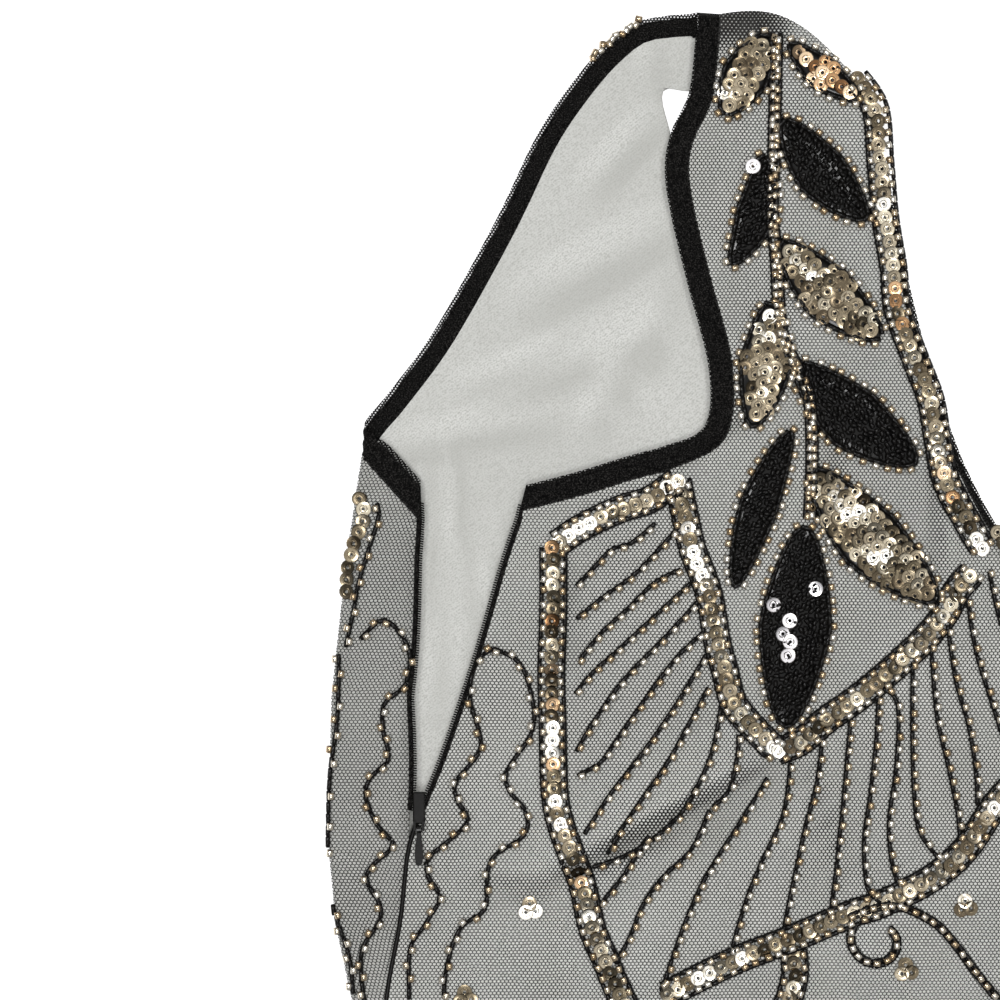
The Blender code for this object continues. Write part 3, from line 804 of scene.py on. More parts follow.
def half_sheet(face, side, radius, lift_share):
    """One half of a panel as a grid."""
    faces_neck = face == BACK and radius == LINING_FACE
    outer, inner = panel_edges(face, side, 0.0 if faces_neck else NECK_WIDTH * 0.5)
    rows = fine_rows(outer)
    shares_of_row = {}

    def point_at(column, row):
        number = rows[row]
        start = edge_point(outer, number)
        end = edge_point(inner, number)
        if row not in shares_of_row:
            shares_of_row[row] = column_shares(start, end, side)
        share = shares_of_row[row][column]
        spot = start.lerp(end, share)
        below = (spot - edge_point(outer, 0.0).lerp(edge_point(inner, 0.0), share)).length
        if number < 1.0:
            spot.y -= SHOULDER_RISE * math.sin(math.pi * share) * (1 - number)
        level = round_over(radius, below) if number < 2 else radius
        lift = 0.0
        if face == FRONT:
            lift = lift_share * front_lift(spot.x, spot.y) * min(1.0, below / 10.0)
        elif radius == LINING_FACE:
            lift = crease_height(spot.x, spot.y, BACK_CREASES)
        wider_threads = clamp(2 - spot.y / DOUBLED_DEPTH) * clamp((DOUBLED_UNTIL - spot.x) / DOUBLED_FADE)
        # In a crease the threads are drawn wider, partly for the net that bunches there and partly as painted
        # shade of the crease.
        gathered_and_shaded = abs(crease_height(spot.x, spot.y, SMALL_CREASES)) * GATHER_AND_SHADE if face == FRONT else 0.0
        look = max(wider_threads, gathered_and_shaded)
        if radius == LINING_FACE:
            look = fold_shade(spot.x, spot.y, CREASES + SMALL_CREASES if face == FRONT else BACK_CREASES)
        carried = {"cloth": Vector((spot.x, spot.y, look))}
        return place(spot.x, spot.y, face, level, lift), carried

    columns = STRIP_COLUMNS + BEND_COLUMNS + FLAT_COLUMNS
    return grid_mesh(columns, len(rows) - 1, point_at, ["cloth"])


def build_sheet(name, node, face, radius, lift_share, material):
    """Both halves of a panel in one mesh, with faces that point away from the wearer."""
    joined = bmesh.new()
    for side in (-1, 1):
        gather(joined, half_sheet(face, side, radius, lift_share), side * face > 0)
    bmesh.ops.remove_doubles(joined, verts=joined.verts, dist=0.00002)
    area = sum(item.calc_area() for item in joined.faces)
    made = finish_object(name, joined, material)
    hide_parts(node)
    print(name, len(made.data.polygons), "faces,", round(area, 4), "square metres")
    return made


front_net = build_sheet("net_front", "front_net", FRONT, NET_FACE, 1.0, net_material)
back_net = build_sheet("net_back", "back_net", BACK, NET_FACE, 0.0, net_material)
front_lining = build_sheet("lining_front", "front_lining", FRONT, LINING_FACE, 1.0, front_lining_material)
back_lining = build_sheet("lining_back", "back_lining", BACK, LINING_FACE, 0.0, lining_material)
thicken(front_lining, LINING_THICKNESS)
thicken(back_lining, LINING_THICKNESS)

# %% [markdown]
# ## Bindings, neck edge and zip tapes
# All the narrow bands are made alike: a grid that is long and narrow, laid between an edge and the same edge
# moved into the cloth. Its section is a low arch, because the band is folded cloth and not a flat strip.

# %% bands
BAND_STEP = 2.5
BAND_COLUMNS = 8
BAND_THICKNESS = 0.45
BAND_ARCH = 0.5


def band_mesh(edge, shifted, first, last, face, radius):
    rows = [first]
    for upper in range(math.floor(first), math.ceil(last)):
        count = max(1, round((edge[upper + 1] - edge[upper]).length / BAND_STEP))
        rows += [min(upper + share / count, last) for share in range(1, count + 1)
                 if upper + share / count > first]
    top = edge_point(edge, 0.0)
    arch = BAND_ARCH if radius == BINDING_FACE else 0.0

    def point_at(column, row):
        share = column / BAND_COLUMNS
        start = edge_point(edge, rows[row])
        spot = start.lerp(edge_point(shifted, rows[row]), share)
        level = round_over(radius - arch * (2 * share - 1) ** 2, (start - top).length)
        lift = front_lift(spot.x, spot.y) * share if face == FRONT else 0.0
        carried = {"cloth": Vector((spot.x, spot.y, 0.0)), "band": Vector((share, 0.0, 0.0))}
        return place(spot.x, spot.y, face, level, lift), carried

    return grid_mesh(BAND_COLUMNS, len(rows) - 1, point_at, ["cloth", "band"])


def build_band(name, node, runs, material):
    """One node's bands. A run is an edge, the edge moved in, rows, face, radius and the cloth's side."""
    joined = bmesh.new()
    for edge, shifted, first, last, face, radius, side in runs:
        gather(joined, band_mesh(edge, shifted, first, last, face, radius), side * face > 0)
    area = sum(item.calc_area() for item in joined.faces)
    made = finish_object(name, joined, material)
    thicken(made, BAND_THICKNESS)
    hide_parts(node)
    print(name, len(made.data.polygons), "faces,", round(area * 10000, 1), "square centimetres")
    return made


EDGES = outer_edges()
for number, (name, face, side) in enumerate((
        ("binding_left_front", FRONT, -1), ("binding_left_back", BACK, -1),
        ("binding_right_front", FRONT, 1), ("binding_right_back", BACK, 1))):
    edge = EDGES[number]
    shifted = shift_edge(edge, [BINDING_WIDTH] * ROWS, side)
    material = open_binding_material if face == BACK else binding_material
    runs = [(edge, shifted, 0, CORNER_ROW, face, BINDING_FACE, side)]
    build_band(name.replace("binding", "bound_edge"), name, runs, material)
TAPE_START = CORNER_ROW + 0.6
for name, number, face in (("zip_tape_front", 0, FRONT), ("zip_tape_back", 1, BACK)):
    edge = EDGES[number]
    shifted = shift_edge(edge, [TAPE_WIDTH] * ROWS, -1)
    runs = [(edge, shifted, TAPE_START, LAST_ZIP_ROW, face, BINDING_FACE, -1)]
    build_band(name.replace("zip_", ""), name, runs, tape_material)
for name, face in (("neck_edge_front", FRONT), ("neck_edge_back", BACK)):
    sides = shift_neck(*neck_edges(face), 0.0 if face == FRONT else LINING_OVER)
    moved = shift_neck(*neck_edges(face), NECK_WIDTH)
    level = BINDING_FACE if face == FRONT else BINDING_FACE - 0.01
    runs = [(sides[number], moved[number], 0, NECK_ROW, face, level, side)
            for number, side in ((0, 1), (1, -1))]
    build_band(name.replace("neck_edge", "neckline"), name, runs, neck_material)

# %% [markdown]
# ## Many small things
# Beads, sequins and zip teeth come in thousands. Each kind is shaped once with bmesh, with only a few dozen
# faces, and its points are then copied to every place with one array sum. The copies are joined in one
# mesh. The attribute "piece" carries the place on the single bead and a tone between 0 and 1, so that the
# material can give each one its own colour.

# %% one shape, many places


class Shape:
    """Points and faces of one small thing, in millimetres, along x, with its top towards +z."""

    def __init__(self, bm):
        bmesh.ops.recalc_face_normals(bm, faces=bm.faces)
        bm.verts.ensure_lookup_table()
        self.points = np.array([vert.co[:] for vert in bm.verts])
        self.faces = [[vert.index for vert in item.verts] for item in bm.faces]
        self.triangles = sum(len(item) - 2 for item in self.faces)
        bm.free()


def turned_shape(sides, rings, capped):
    """A short turned shape about the x axis from rings of position and radius."""
    bm = bmesh.new()
    bmesh.ops.create_circle(bm, cap_ends=capped, segments=sides, radius=rings[0][1])
    loop = list(bm.edges)
    for (start, old), (end, new) in zip(rings, rings[1:]):
        grown = bmesh.ops.extrude_edge_only(bm, edges=loop)["geom"]
        verts = [item for item in grown if isinstance(item, bmesh.types.BMVert)]
        loop = [item for item in grown if isinstance(item, bmesh.types.BMEdge)
                and all(vert in verts for vert in item.verts)]
        bmesh.ops.translate(bm, verts=verts, vec=(0.0, 0.0, end - start))
        bmesh.ops.scale(bm, verts=verts, vec=(new / old, new / old, 1.0))
    if capped:
        bmesh.ops.edgeloop_fill(bm, edges=loop)
    bmesh.ops.translate(bm, verts=bm.verts, vec=(0.0, 0.0, rings[0][0]))
    return bm


def lie_down(bm):
    """Turns a shape's axis from z to x."""
    bmesh.ops.rotate(bm, verts=bm.verts, matrix=Matrix.Rotation(math.pi / 2, 3, "Y"))
    return Shape(bm)


SEQUIN = Shape(turned_shape(15, [(0.10, 0.60), (0.0, 1.2), (0.22, 2.62)], False))
BEAD = lie_down(turned_shape(6, [(-1.25, 0.9), (-1.05, 1.2), (1.05, 1.2), (1.25, 0.9)], True))
CORD_BEAD = lie_down(turned_shape(5, [(-1.95, 0.65), (-1.6, 0.9), (1.6, 0.9), (1.95, 0.65)], True))
FILL_BEAD = lie_down(turned_shape(6, [(-1.05, 0.5), (-0.7, 0.8), (0.7, 0.8), (1.05, 0.5)], True))
TOOTH = lie_down(turned_shape(6, [(-0.85, 0.12), (-0.7, 0.28), (0.7, 0.28), (0.85, 0.12)], True))
print("sequin", SEQUIN.triangles, "bead", BEAD.triangles, "cord bead", CORD_BEAD.triangles, "triangles")


# %% copies of a shape


def frame_at(spot, along, up, tilt_along=0.0, tilt_across=0.0):
    """4 by 4 matrix that puts a shape at a point, its x axis along and its z axis up."""
    z = up.normalized()
    x = (along - z * along.dot(z)).normalized()
    y = z.cross(x)
    turn = Matrix((x, y, z)).transposed()
    lean = Matrix.Rotation(tilt_along, 3, "Y") @ Matrix.Rotation(tilt_across, 3, "X")
    made = (turn @ lean).to_4x4()
    made.translation = spot
    return made


def build_many(name, shape, places, material):
    """Joins copies of a shape. A place is a matrix and a tone."""
    matrices = np.array([[list(row) for row in matrix] for matrix, tone in places])
    tones = np.array([tone for matrix, tone in places])
    turned = np.einsum("nij,pj->npi", matrices[:, :3, :3], shape.points * MM)
    points = turned + matrices[:, None, :3, 3]
    count = len(shape.points)
    faces = [[index + copy * count for index in item] for copy in range(len(places)) for item in shape.faces]
    mesh = bpy.data.meshes.new(name)
    mesh.from_pydata(points.reshape(-1, 3), [], faces)
    carried = np.empty((len(places), count, 3))
    carried[:, :, 0] = np.hypot(shape.points[:, 0], shape.points[:, 1])
    carried[:, :, 1] = shape.points[:, 0]
    carried[:, :, 2] = tones[:, None]
    layer = mesh.attributes.new("piece", "FLOAT_VECTOR", "POINT")
    layer.data.foreach_set("vector", carried.reshape(-1))
    mesh.shade_smooth()
    mesh.materials.append(material)
    made = add_object(name, mesh)
    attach(made, "dress")
    print(name, len(places), "pieces,", len(places) * shape.triangles, "triangles")


# %% [markdown]
# ## Finishes of the small things
# Sequins are stamped from metallic film. They are mirrors, so their colour in the picture is what they
# face, and each one leans a little differently. Stamped rings round the hole are a bump, and the groove and
# the outer rim of each sequin are darkened with painted shade. Gold beads are glass with a foil lining: a
# bright streak along the middle and brown ends. Black beads and the zip are glossy black.

# %% sequin, bead and zip materials


def make_sequins(name, stops):
    paint = Paint(name, 0.24, 1.0)
    reach = paint.attribute("piece", 0)
    tone = paint.attribute("piece", 2)
    worn = paint.noise(700.0, 2.0)
    colour = paint.add("ShaderNodeValToRGB", {"stops": stops}, {"Fac": tone + (worn - 0.5) * 0.25})
    # The groove round the hole and the outer rim are darkened towards brown as painted shade; the groove is
    # also a bump.
    groove = reach.step(1.05, 1.2) * (1.0 - reach.step(1.3, 1.5))
    rim_shade = reach.step(2.35, 2.55)
    paint.surface("Base Color", paint.blend(groove * 0.75 + rim_shade * 0.65, colour, (0.09, 0.07, 0.045)))
    paint.surface("Roughness", worn * 0.16 + 0.14)
    paint.bump(groove + worn * 0.15, 0.35, 0.00012)
    return paint.material


def make_gold_beads():
    paint = Paint("gold_beads", 0.16, 0.8)
    along = paint.attribute("piece", 1)
    tone = paint.attribute("piece", 2)
    colour = paint.add("ShaderNodeValToRGB", {"stops": BEAD_STOPS}, {"Fac": tone})
    ends = along.math("ABSOLUTE").step(0.85, 1.2)
    paint.surface("Base Color", paint.blend(ends, colour, (0.13, 0.08, 0.04)))
    paint.bump(paint.noise(900.0, 2.0), 0.2, 0.0001)
    paint.shader.inputs["Coat Weight"].default_value = 0.6
    paint.shader.inputs["Coat Roughness"].default_value = 0.05
    return paint.material


def make_black_gloss(name, roughness):
    paint = Paint(name, roughness)
    worn = paint.blend(paint.noise(300.0, 2.0), (0.002, 0.002, 0.002), (0.012, 0.011, 0.010))
    paint.surface("Base Color", worn)
    paint.bump(paint.noise(1100.0, 2.0), 0.15, 0.0001)
    paint.shader.inputs["Specular IOR Level"].default_value = 0.17
    return paint.material


# The last gold stop is near white; the flat sequins are given it as a painted highlight.
GOLD_STOPS = [
    (0.0, (0.08, 0.062, 0.040)), (0.35, (0.17, 0.14, 0.093)), (0.68, (0.31, 0.26, 0.185)),
    (0.92, (0.60, 0.54, 0.42)), (1.0, (0.96, 0.93, 0.86)),
]
COPPER_STOPS = [(0.0, (0.16, 0.08, 0.035)), (0.5, (0.48, 0.29, 0.15)), (1.0, (0.80, 0.62, 0.42))]
BEAD_STOPS = [
    (0.0, (0.44, 0.31, 0.17)), (0.4, (0.68, 0.55, 0.38)), (0.75, (0.88, 0.80, 0.66)),
    (1.0, (0.95, 0.90, 0.80)),
]
SILVER_STOPS = [(0.0, (0.55, 0.53, 0.54)), (1.0, (0.92, 0.90, 0.92))]
gold_material = make_sequins("gold_sequins", GOLD_STOPS)
copper_material = make_sequins("copper_sequins", COPPER_STOPS)
silver_material = make_sequins("silver_sequins", SILVER_STOPS)
bead_material = make_gold_beads()
black_material = make_black_gloss("black_glass", 0.14)
zip_material = make_black_gloss("black_zip", 0.22)
print("finishes:", gold_material.name, copper_material.name, bead_material.name, black_material.name)

# %% [markdown]
# ## Zip
# An invisible zip has a coil instead of teeth, and the coil is turned to the inside, so only the black turns
# along both edges show. The slider stands where the opening ends. Below it the closed seam is a dark
# ridge. The slider and its pull keep their solids, which only get their finish here.

# %% zip coil
COIL_PITCH = 0.85
COIL_REACH = 0.25
COIL_SUNK = 0.25
COIL_LEAN = 0.25
EDGE_STEPS = 600
SEAM_STEP = 6.0
SEAM_CORD_RADIUS = 0.85
SEAM_SUNK = {FRONT: 0.45, BACK: 0.75}


def along_edge(edge, first, last, pitch):
    """Spots and directions at an even pitch along an edge, between two rows."""
    dense = [edge_point(edge, first + (last - first) * step / EDGE_STEPS) for step in range(EDGE_STEPS + 1)]
    return even_walk(dense, pitch)


def even_walk(dense, pitch, start=0.0):
    """Spots with their directions at an even pitch along a chain of points."""
    found = []
    travelled = 0.0
    wanted = start
    for here, there in zip(dense, dense[1:]):
        length = (there - here).length
        while length > 0 and wanted <= travelled + length:
            found.append((here.lerp(there, (wanted - travelled) / length), (there - here) / length))
            wanted += pitch
        travelled += length
    return found


def flat_direction(run):
    """A direction on the pattern as a direction in space."""
    return Vector((run.x, -run.y, 0.0))


coil = []
for number, face in ((0, FRONT), (1, BACK)):
    for spot, run in along_edge(EDGES[number], TAPE_START, LAST_ZIP_ROW, COIL_PITCH):
        outward = Vector((-run.y, run.x))
        seat = spot + outward * COIL_REACH
        centre = place(seat.x, seat.y, face, BINDING_FACE - COIL_SUNK)
        coil.append((frame_at(centre, flat_direction(outward), UP, COIL_LEAN), 0.5))
build_many("zip_coil", TOOTH, coil, zip_material)


# %% seam and slider


def tube(name, points, radius, material):
    """A round cord through points in space, made as a curve and turned into a mesh."""
    curve = bpy.data.curves.new(name, "CURVE")
    curve.dimensions = "3D"
    spline = curve.splines.new("POLY")
    spline.points.add(len(points) - 1)
    for target, point in zip(spline.points, points):
        target.co = (*point, 1.0)
    curve.bevel_depth = radius * MM
    curve.bevel_resolution = 2
    curve.use_fill_caps = True
    holder = add_object(name + "_path", curve)
    mesh = bpy.data.meshes.new_from_object(holder.evaluated_get(bpy.context.evaluated_depsgraph_get()))
    bpy.data.objects.remove(holder)
    bpy.data.curves.remove(curve)
    mesh.name = name
    mesh.materials.clear()
    mesh.materials.append(material)
    made = add_object(name, mesh)
    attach(made, "dress")


for name, number, face in (("seam_left", 0, FRONT), ("seam_right", 3, BACK)):
    first = LAST_ZIP_ROW if number == 0 else FIRST_ZIP_ROW
    points = []
    for spot, run in along_edge(EDGES[number], first, ROWS - 1, SEAM_STEP):
        lift = front_lift(spot.x, spot.y) if face == FRONT else 0.0
        points.append(place(spot.x, spot.y, face, NET_FACE - SEAM_SUNK[face], lift))
    tube(name, points, SEAM_CORD_RADIUS, zip_material)
for node in ("zip_slider", "zip_pull"):
    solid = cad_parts[node]
    solid.data.materials.clear()
    solid.data.materials.append(zip_material)
print("zip coil has", len(coil), "turns")

# %% [markdown]
# ## Drawing the embroidery
# The beading is drawn as lines on the front, in millimetres on the pattern, and only the left half is
# drawn: the right half is its mirror image about the centre front. Every line is a smooth curve through a few
# points. What is sewn along it follows a rule: a cord of long black beads end to end with a gold bead
# beside it every few millimetres, or a file of overlapping sequins between two such cords.

# %% the drawing of the left half
STEM = [(-73.8, 9.0), (-74.5, 46.2), (-75.2, 70.3), (-73.8, 86.9), (-72.1, 111.0), (-66.6, 124.8),
    (-62.4, 135.2), (-61.5, 156.0), (-62.4, 176.6)]
NECK_BAND = [(-46.5, 24.5), (-39.7, 35.2), (-37.9, 54.1), (-36.2, 73.1), (-33.4, 90.3), (-32.1, 104.1),
    (-25.9, 121.4), (-20.7, 135.2), (-18.3, 149.0), (-15.5, 162.8), (-8.6, 176.6), (-2.4, 187.0)]
NECK_BAND_DOWN = [(2.0, 180.5), (10.0, 195.5), (24.0, 214.0), (36.0, 231.0), (47.0, 248.5)]
CHEVRON_LEFT = [(-107.9, 163.1), (-105.5, 174.5), (-102.8, 186.6), (-99.0, 196.6), (-96.6, 204.5),
    (-94.1, 219.3), (-91.7, 228.3), (-88.3, 240.3), (-81.0, 249.3), (-73.8, 256.6)]
CHEVRON_RIGHT = [(-73.8, 256.6), (-65.5, 253.4), (-56.6, 245.9), (-46.2, 238.6), (-34.5, 229.0),
    (-22.4, 217.6), (-15.2, 208.6), (-11.7, 201.4), (-5.2, 194.1)]
SHOULDER_BAND = [(-107.9, 163.1), (-117.2, 169.7), (-127.6, 173.1), (-141.4, 179.7), (-150.7, 186.2)]
SIDE_BAND = [(-150.7, 186.2), (-150.7, 204.1), (-151.0, 217.9), (-151.4, 230.0), (-151.0, 245.5),
    (-150.7, 259.3), (-150.0, 273.1), (-147.6, 283.4), (-143.1, 295.5), (-140.3, 304.1), (-137.2, 317.9),
    (-132.8, 328.3), (-129.3, 336.9), (-121.0, 356.0), (-113.0, 384.0), (-110.0, 420.0), (-114.0, 480.0),
    (-124.0, 560.0), (-136.0, 700.0), (-146.0, 860.0), (-158.0, 1060.0), (-172.0, 1278.0)]
BOTTOM_BAND = [(-112.0, 340.7), (-97.2, 333.1), (-85.2, 327.6), (-69.0, 321.4), (-48.3, 312.8),
    (-37.9, 309.3), (-20.7, 300.7), (-8.6, 290.3), (3.4, 273.1), (16.0, 262.5), (30.0, 258.0)]
TAIL_BAND = [(-68.0, 325.0), (-67.5, 334.0), (-71.0, 346.0), (-79.0, 360.0)]
FOLD_BAND = [(-218.3, 160.5), (-218.0, 168.0), (-216.0, 174.8), (-219.3, 185.9), (-221.2, 194.1),
    (-221.6, 202.0)]
SCROLL_TAIL = [(-48.5, 315.0), (-40.0, 311.5), (-32.0, 311.0), (-25.0, 313.5), (-18.0, 318.0),
    (-12.0, 325.0), (-6.0, 333.0), (2.0, 343.0)]
SCROLL_CENTRE = (-38.8, 321.6)
SCROLL_RADIUS = 10.8
SCROLL_SHRINK = 0.42
SCROLL_SWEEP = 4.6
SCROLL_START = 0.6
WAVES = [
    [(-217.2, 217.9), (-208.6, 211.6), (-200.6, 221.4), (-201.7, 233.2), (-208.9, 240.5), (-209.2, 250.0),
     (-207.6, 259.0), (-213.8, 266.0), (-215.3, 272.0), (-212.0, 281.0), (-206.4, 289.0), (-213.5, 296.5),
     (-214.8, 301.5), (-210.6, 309.5), (-210.8, 315.5), (-216.2, 324.0), (-216.9, 333.0), (-215.5, 345.0)],
    [(-171.6, 221.0), (-177.6, 226.6), (-179.3, 238.6), (-175.8, 255.0), (-183.8, 266.5), (-184.0, 273.0),
     (-180.6, 281.4), (-192.6, 292.5), (-194.0, 299.0), (-190.0, 307.0), (-194.8, 316.2), (-200.0, 324.8),
     (-200.4, 340.3)],
    [(-171.6, 221.0), (-162.0, 226.8), (-157.6, 241.0), (-158.6, 251.0), (-166.4, 263.0), (-166.0, 270.0),
     (-160.6, 277.0), (-160.6, 285.2), (-171.6, 293.5), (-173.6, 303.0), (-174.4, 311.0), (-182.8, 317.9),
     (-187.2, 330.0), (-188.6, 342.0)],
]
FOLD_LINES = [
    [(-211.6, 171.0), (-211.0, 176.0), (-214.5, 187.6), (-217.9, 199.0), (-219.5, 208.0), (-222.4, 221.4)],
    [(-224.4, 223.0), (-225.2, 245.5), (-227.4, 266.2), (-228.0, 286.9), (-227.9, 304.1), (-224.6, 316.0),
     (-221.0, 328.0), (-219.5, 340.0)],
]
FAN_LINES = [
    [(-115.5, 177.9), (-123.4, 184.5), (-130.7, 187.2), (-137.2, 193.8), (-143.4, 200.3)],
    [(-107.6, 179.3), (-114.5, 187.2), (-123.4, 196.2), (-133.1, 203.1), (-143.4, 211.4)],
    [(-106.6, 193.8), (-115.5, 198.3), (-124.8, 207.2), (-134.5, 216.2), (-142.4, 226.2)],
    [(-103.4, 198.6), (-113.1, 207.6), (-126.9, 220.3), (-136.9, 229.3), (-144.1, 237.9)],
    [(-100.7, 204.8), (-112.1, 217.2), (-125.9, 231.4), (-136.2, 245.5), (-142.8, 256.6)],
    [(-98.6, 215.2), (-108.6, 224.8), (-120.0, 240.0), (-131.0, 255.9), (-135.2, 261.0), (-142.1, 264.8)],
    [(-97.9, 223.1), (-107.6, 239.3), (-119.0, 255.9), (-131.0, 271.4), (-140.0, 285.2)],
    [(-97.2, 234.5), (-103.4, 246.2), (-112.1, 261.7), (-123.1, 277.2), (-132.4, 291.7)],
    [(-92.4, 237.9), (-96.2, 257.2), (-104.8, 274.5), (-116.6, 286.6), (-127.6, 293.1), (-137.9, 296.2)],
    [(-86.9, 250.7), (-87.6, 259.3), (-90.3, 269.3), (-96.9, 276.6)],
]
LONG_LINES = [
    [(-118.0, 285.0), (-126.0, 298.5), (-134.0, 308.5)],
    [(-97.0, 276.5), (-103.0, 290.0), (-113.0, 300.0), (-120.0, 310.0), (-124.0, 320.0), (-128.5, 328.5)],
    [(-77.0, 265.5), (-86.0, 280.5), (-94.0, 293.0), (-100.0, 303.5), (-106.5, 319.0), (-113.0, 338.0)],
    [(-69.0, 260.5), (-71.5, 278.5), (-79.0, 295.0), (-84.5, 309.0), (-89.5, 326.0)],
    [(-58.0, 251.0), (-59.5, 266.0), (-63.5, 281.5), (-67.5, 299.5), (-70.5, 314.0), (-72.0, 322.0)],
    [(-48.0, 243.5), (-49.5, 260.0), (-51.0, 277.0), (-53.0, 296.0), (-55.5, 315.0)],
    [(-38.5, 236.0), (-39.5, 254.0), (-41.5, 272.0), (-43.6, 288.0), (-42.5, 303.0), (-39.0, 308.0)],
    [(-37.0, 235.0), (-32.0, 241.0), (-32.5, 262.0), (-35.0, 281.0), (-33.8, 296.0), (-31.0, 303.5)],
    [(-26.8, 226.0), (-27.0, 248.0), (-26.4, 270.0), (-24.5, 284.0), (-18.0, 293.5)],
    [(-20.5, 220.0), (-18.5, 244.0), (-14.5, 262.0), (-11.5, 277.0), (-10.5, 286.0)],
    [(-14.8, 213.0), (-12.0, 232.0), (-7.5, 248.0), (-5.0, 264.0), (-4.5, 277.0)],
    [(-8.0, 204.0), (-5.0, 222.0), (0.5, 240.0), (5.0, 254.0), (8.0, 264.0)],
    [(-0.5, 194.5), (3.5, 212.0), (11.0, 230.0), (18.0, 244.0), (23.0, 256.0)],
]
TRIOS = [(-158.6, 311.0), (-8.6, 310.0), (-29.3, 331.7), (-181.0, 341.5), (-96.0, 372.0), (-52.0, 366.0)]
LEAVES = [
    (-77.0, 10.0, -91.5, 37.0, 15.5, 0.0, "gold"),
    (-69.0, 13.0, -45.5, 31.5, 10.5, 1.0, "copper"),
    (-71.3, 39.5, -43.0, 73.0, 17.5, 1.5, "black"),
    (-78.0, 51.5, -88.8, 88.5, 13.0, -3.0, "black"),
    (-72.0, 81.5, -38.0, 114.0, 18.5, 1.5, "gold"),
    (-76.0, 102.5, -82.0, 144.5, 17.0, -1.5, "gold"),
    (-66.5, 123.5, -26.0, 157.0, 21.0, 2.0, "black"),
    (-69.0, 146.5, -88.0, 199.5, 12.5, 1.5, "black"),
    (-61.0, 160.0, -19.0, 204.5, 22.0, 2.0, "gold"),
    (-64.0, 179.5, -70.5, 248.0, 24.0, 0.0, "black"),
]
LEAF_POINTEDNESS = 0.28
# Spots where a sequin lies flat and gets a painted highlight.
FLAT_HIGHLIGHT_SEQUINS = [
    (-152.4, 228.3), (-152.9, 250.7), (-152.4, 261.0), (-149.5, 273.0), (-148.3, 281.7), (-143.0, 182.0),
    (-138.0, 179.5), (-112.0, 166.0), (-105.0, 165.0), (-101.5, 190.0), (-99.3, 196.5), (-73.5, 256.6),
    (-2.5, 184.0), (-33.4, 100.0), (-47.6, 174.8), (-38.0, 190.3), (1.0, 277.0), (-100.0, 335.0),
    (-157.5, 313.0),
]
HIGHLIGHT_REACH = 3.0
SILVER_ON_LEAVES = [(-82.0, 55.2), (-60.4, 200.5), (-75.0, 206.0), (-69.4, 211.5), (-71.8, 216.0),
    (-69.2, 218.8), (-70.0, 223.5)]
print(len(WAVES + FOLD_LINES + FAN_LINES + LONG_LINES), "bead lines on the left half of the bodice")

# %% [markdown]
# ## Sewing things on
# Every item knows the spot on the pattern, the direction of its line and the slope of the cloth. The
# position, lean and tone vary a little with a seeded random generator, as hand-sewn work does, and the
# result is the same at every run. A few sequins lie quite flat, so that they mirror the light above, and
# they also get the palest tone, near white, as a painted highlight. What would lie beyond the side fold is
# left off, because the cloth turns under there.

# %% rules for sewing
PITCH_SEQUIN = 4.15
PITCH_CORD = 3.95
PITCH_GOLD = 5.2
PITCH_BAND_GOLD = PITCH_GOLD * 0.85
BAND_CORD_OFFSET = 4.1
GOLD_BESIDE = 0.85
CURVE_STEPS = 14
ZIP_ROOM = 1.0
CORD_HEIGHT = 0.55
BEAD_HEIGHT = 0.9
SEQUIN_HEIGHT = 0.7
ZIP_REACH = (160.0, 300.0)
PEEK_HEIGHT = 1.4
PEEK_REACH = (-1.2, 0.6)
PEEK_ROWS = (1.8, 3.2)
PITCH_PEEK = 1.9
dice = random.Random(41)
sewn = {"gold": [], "copper": [], "silver": [], "bead": [], "cord": [], "fill": []}


def reaches_under(x, drop):
    side = -1 if x < 0 else 1
    return side * (x - bend_centre(drop, side)) > NET_FACE * 0.9


def on_zip(x, drop):
    """True where the open zip or the slider would lie under a bead."""
    if not ZIP_REACH[0] < drop < ZIP_REACH[1]:
        return False
    return read_table(ZIP_EDGES, drop, 2) - ZIP_ROOM < x < read_table(ZIP_EDGES, drop, 1) + ZIP_ROOM


def sew(kind, spot, run, height, tilt_along=0.0, tilt_across=0.0, tone=None):
    if reaches_under(spot.x, spot.y) or on_zip(spot.x, spot.y):
        return
    # Near these spots a sequin lies flat to mirror the light above, and takes the palest tone as a painted
    # highlight.
    if kind == "gold" and any((spot - Vector(other)).length < HIGHLIGHT_REACH for other in FLAT_HIGHLIGHT_SEQUINS):
        tilt_along, tilt_across, tone = 0.02, 0.0, 1.0
    point, up = on_top(spot.x, spot.y, height)
    matrix = frame_at(point, flat_direction(run), up, tilt_along, tilt_across)
    sewn[kind].append((matrix, dice.random() if tone is None else tone))


def smooth_chain(points, mirrored=False):
    """A close chain of points on the smooth curve through a few."""
    points = [mirror_front(Vector(point)) if mirrored else Vector(point) for point in points]
    count = CURVE_STEPS * (len(points) - 1)
    return curve_through(points, [step / count for step in range(count + 1)])


def offset_chain(chain, distance):
    moved = []
    for index, point in enumerate(chain):
        run = (chain[min(index + 1, len(chain) - 1)] - chain[max(index - 1, 0)]).normalized()
        moved.append(point + Vector((run.y, -run.x)) * distance)
    return moved


def sew_cord(chain, pitch=PITCH_CORD):
    for spot, run in even_walk(chain, pitch, pitch / 2):
        sew("cord", spot, run, CORD_HEIGHT, dice.uniform(-0.05, 0.05))


def sew_gold(chain, pitch, side, start=2.0):
    """Gold beads beside a cord, on one side of it or on both by turns."""
    for number, (spot, run) in enumerate(even_walk(chain, pitch, start)):
        way = side if side else (1 if number % 2 else -1)
        spot = spot + Vector((run.y, -run.x)) * (GOLD_BESIDE * way) + run * dice.uniform(-0.7, 0.7)
        turned = Matrix.Rotation(dice.uniform(-0.25, 0.25), 2) @ run
        sew("bead", spot, turned, BEAD_HEIGHT)


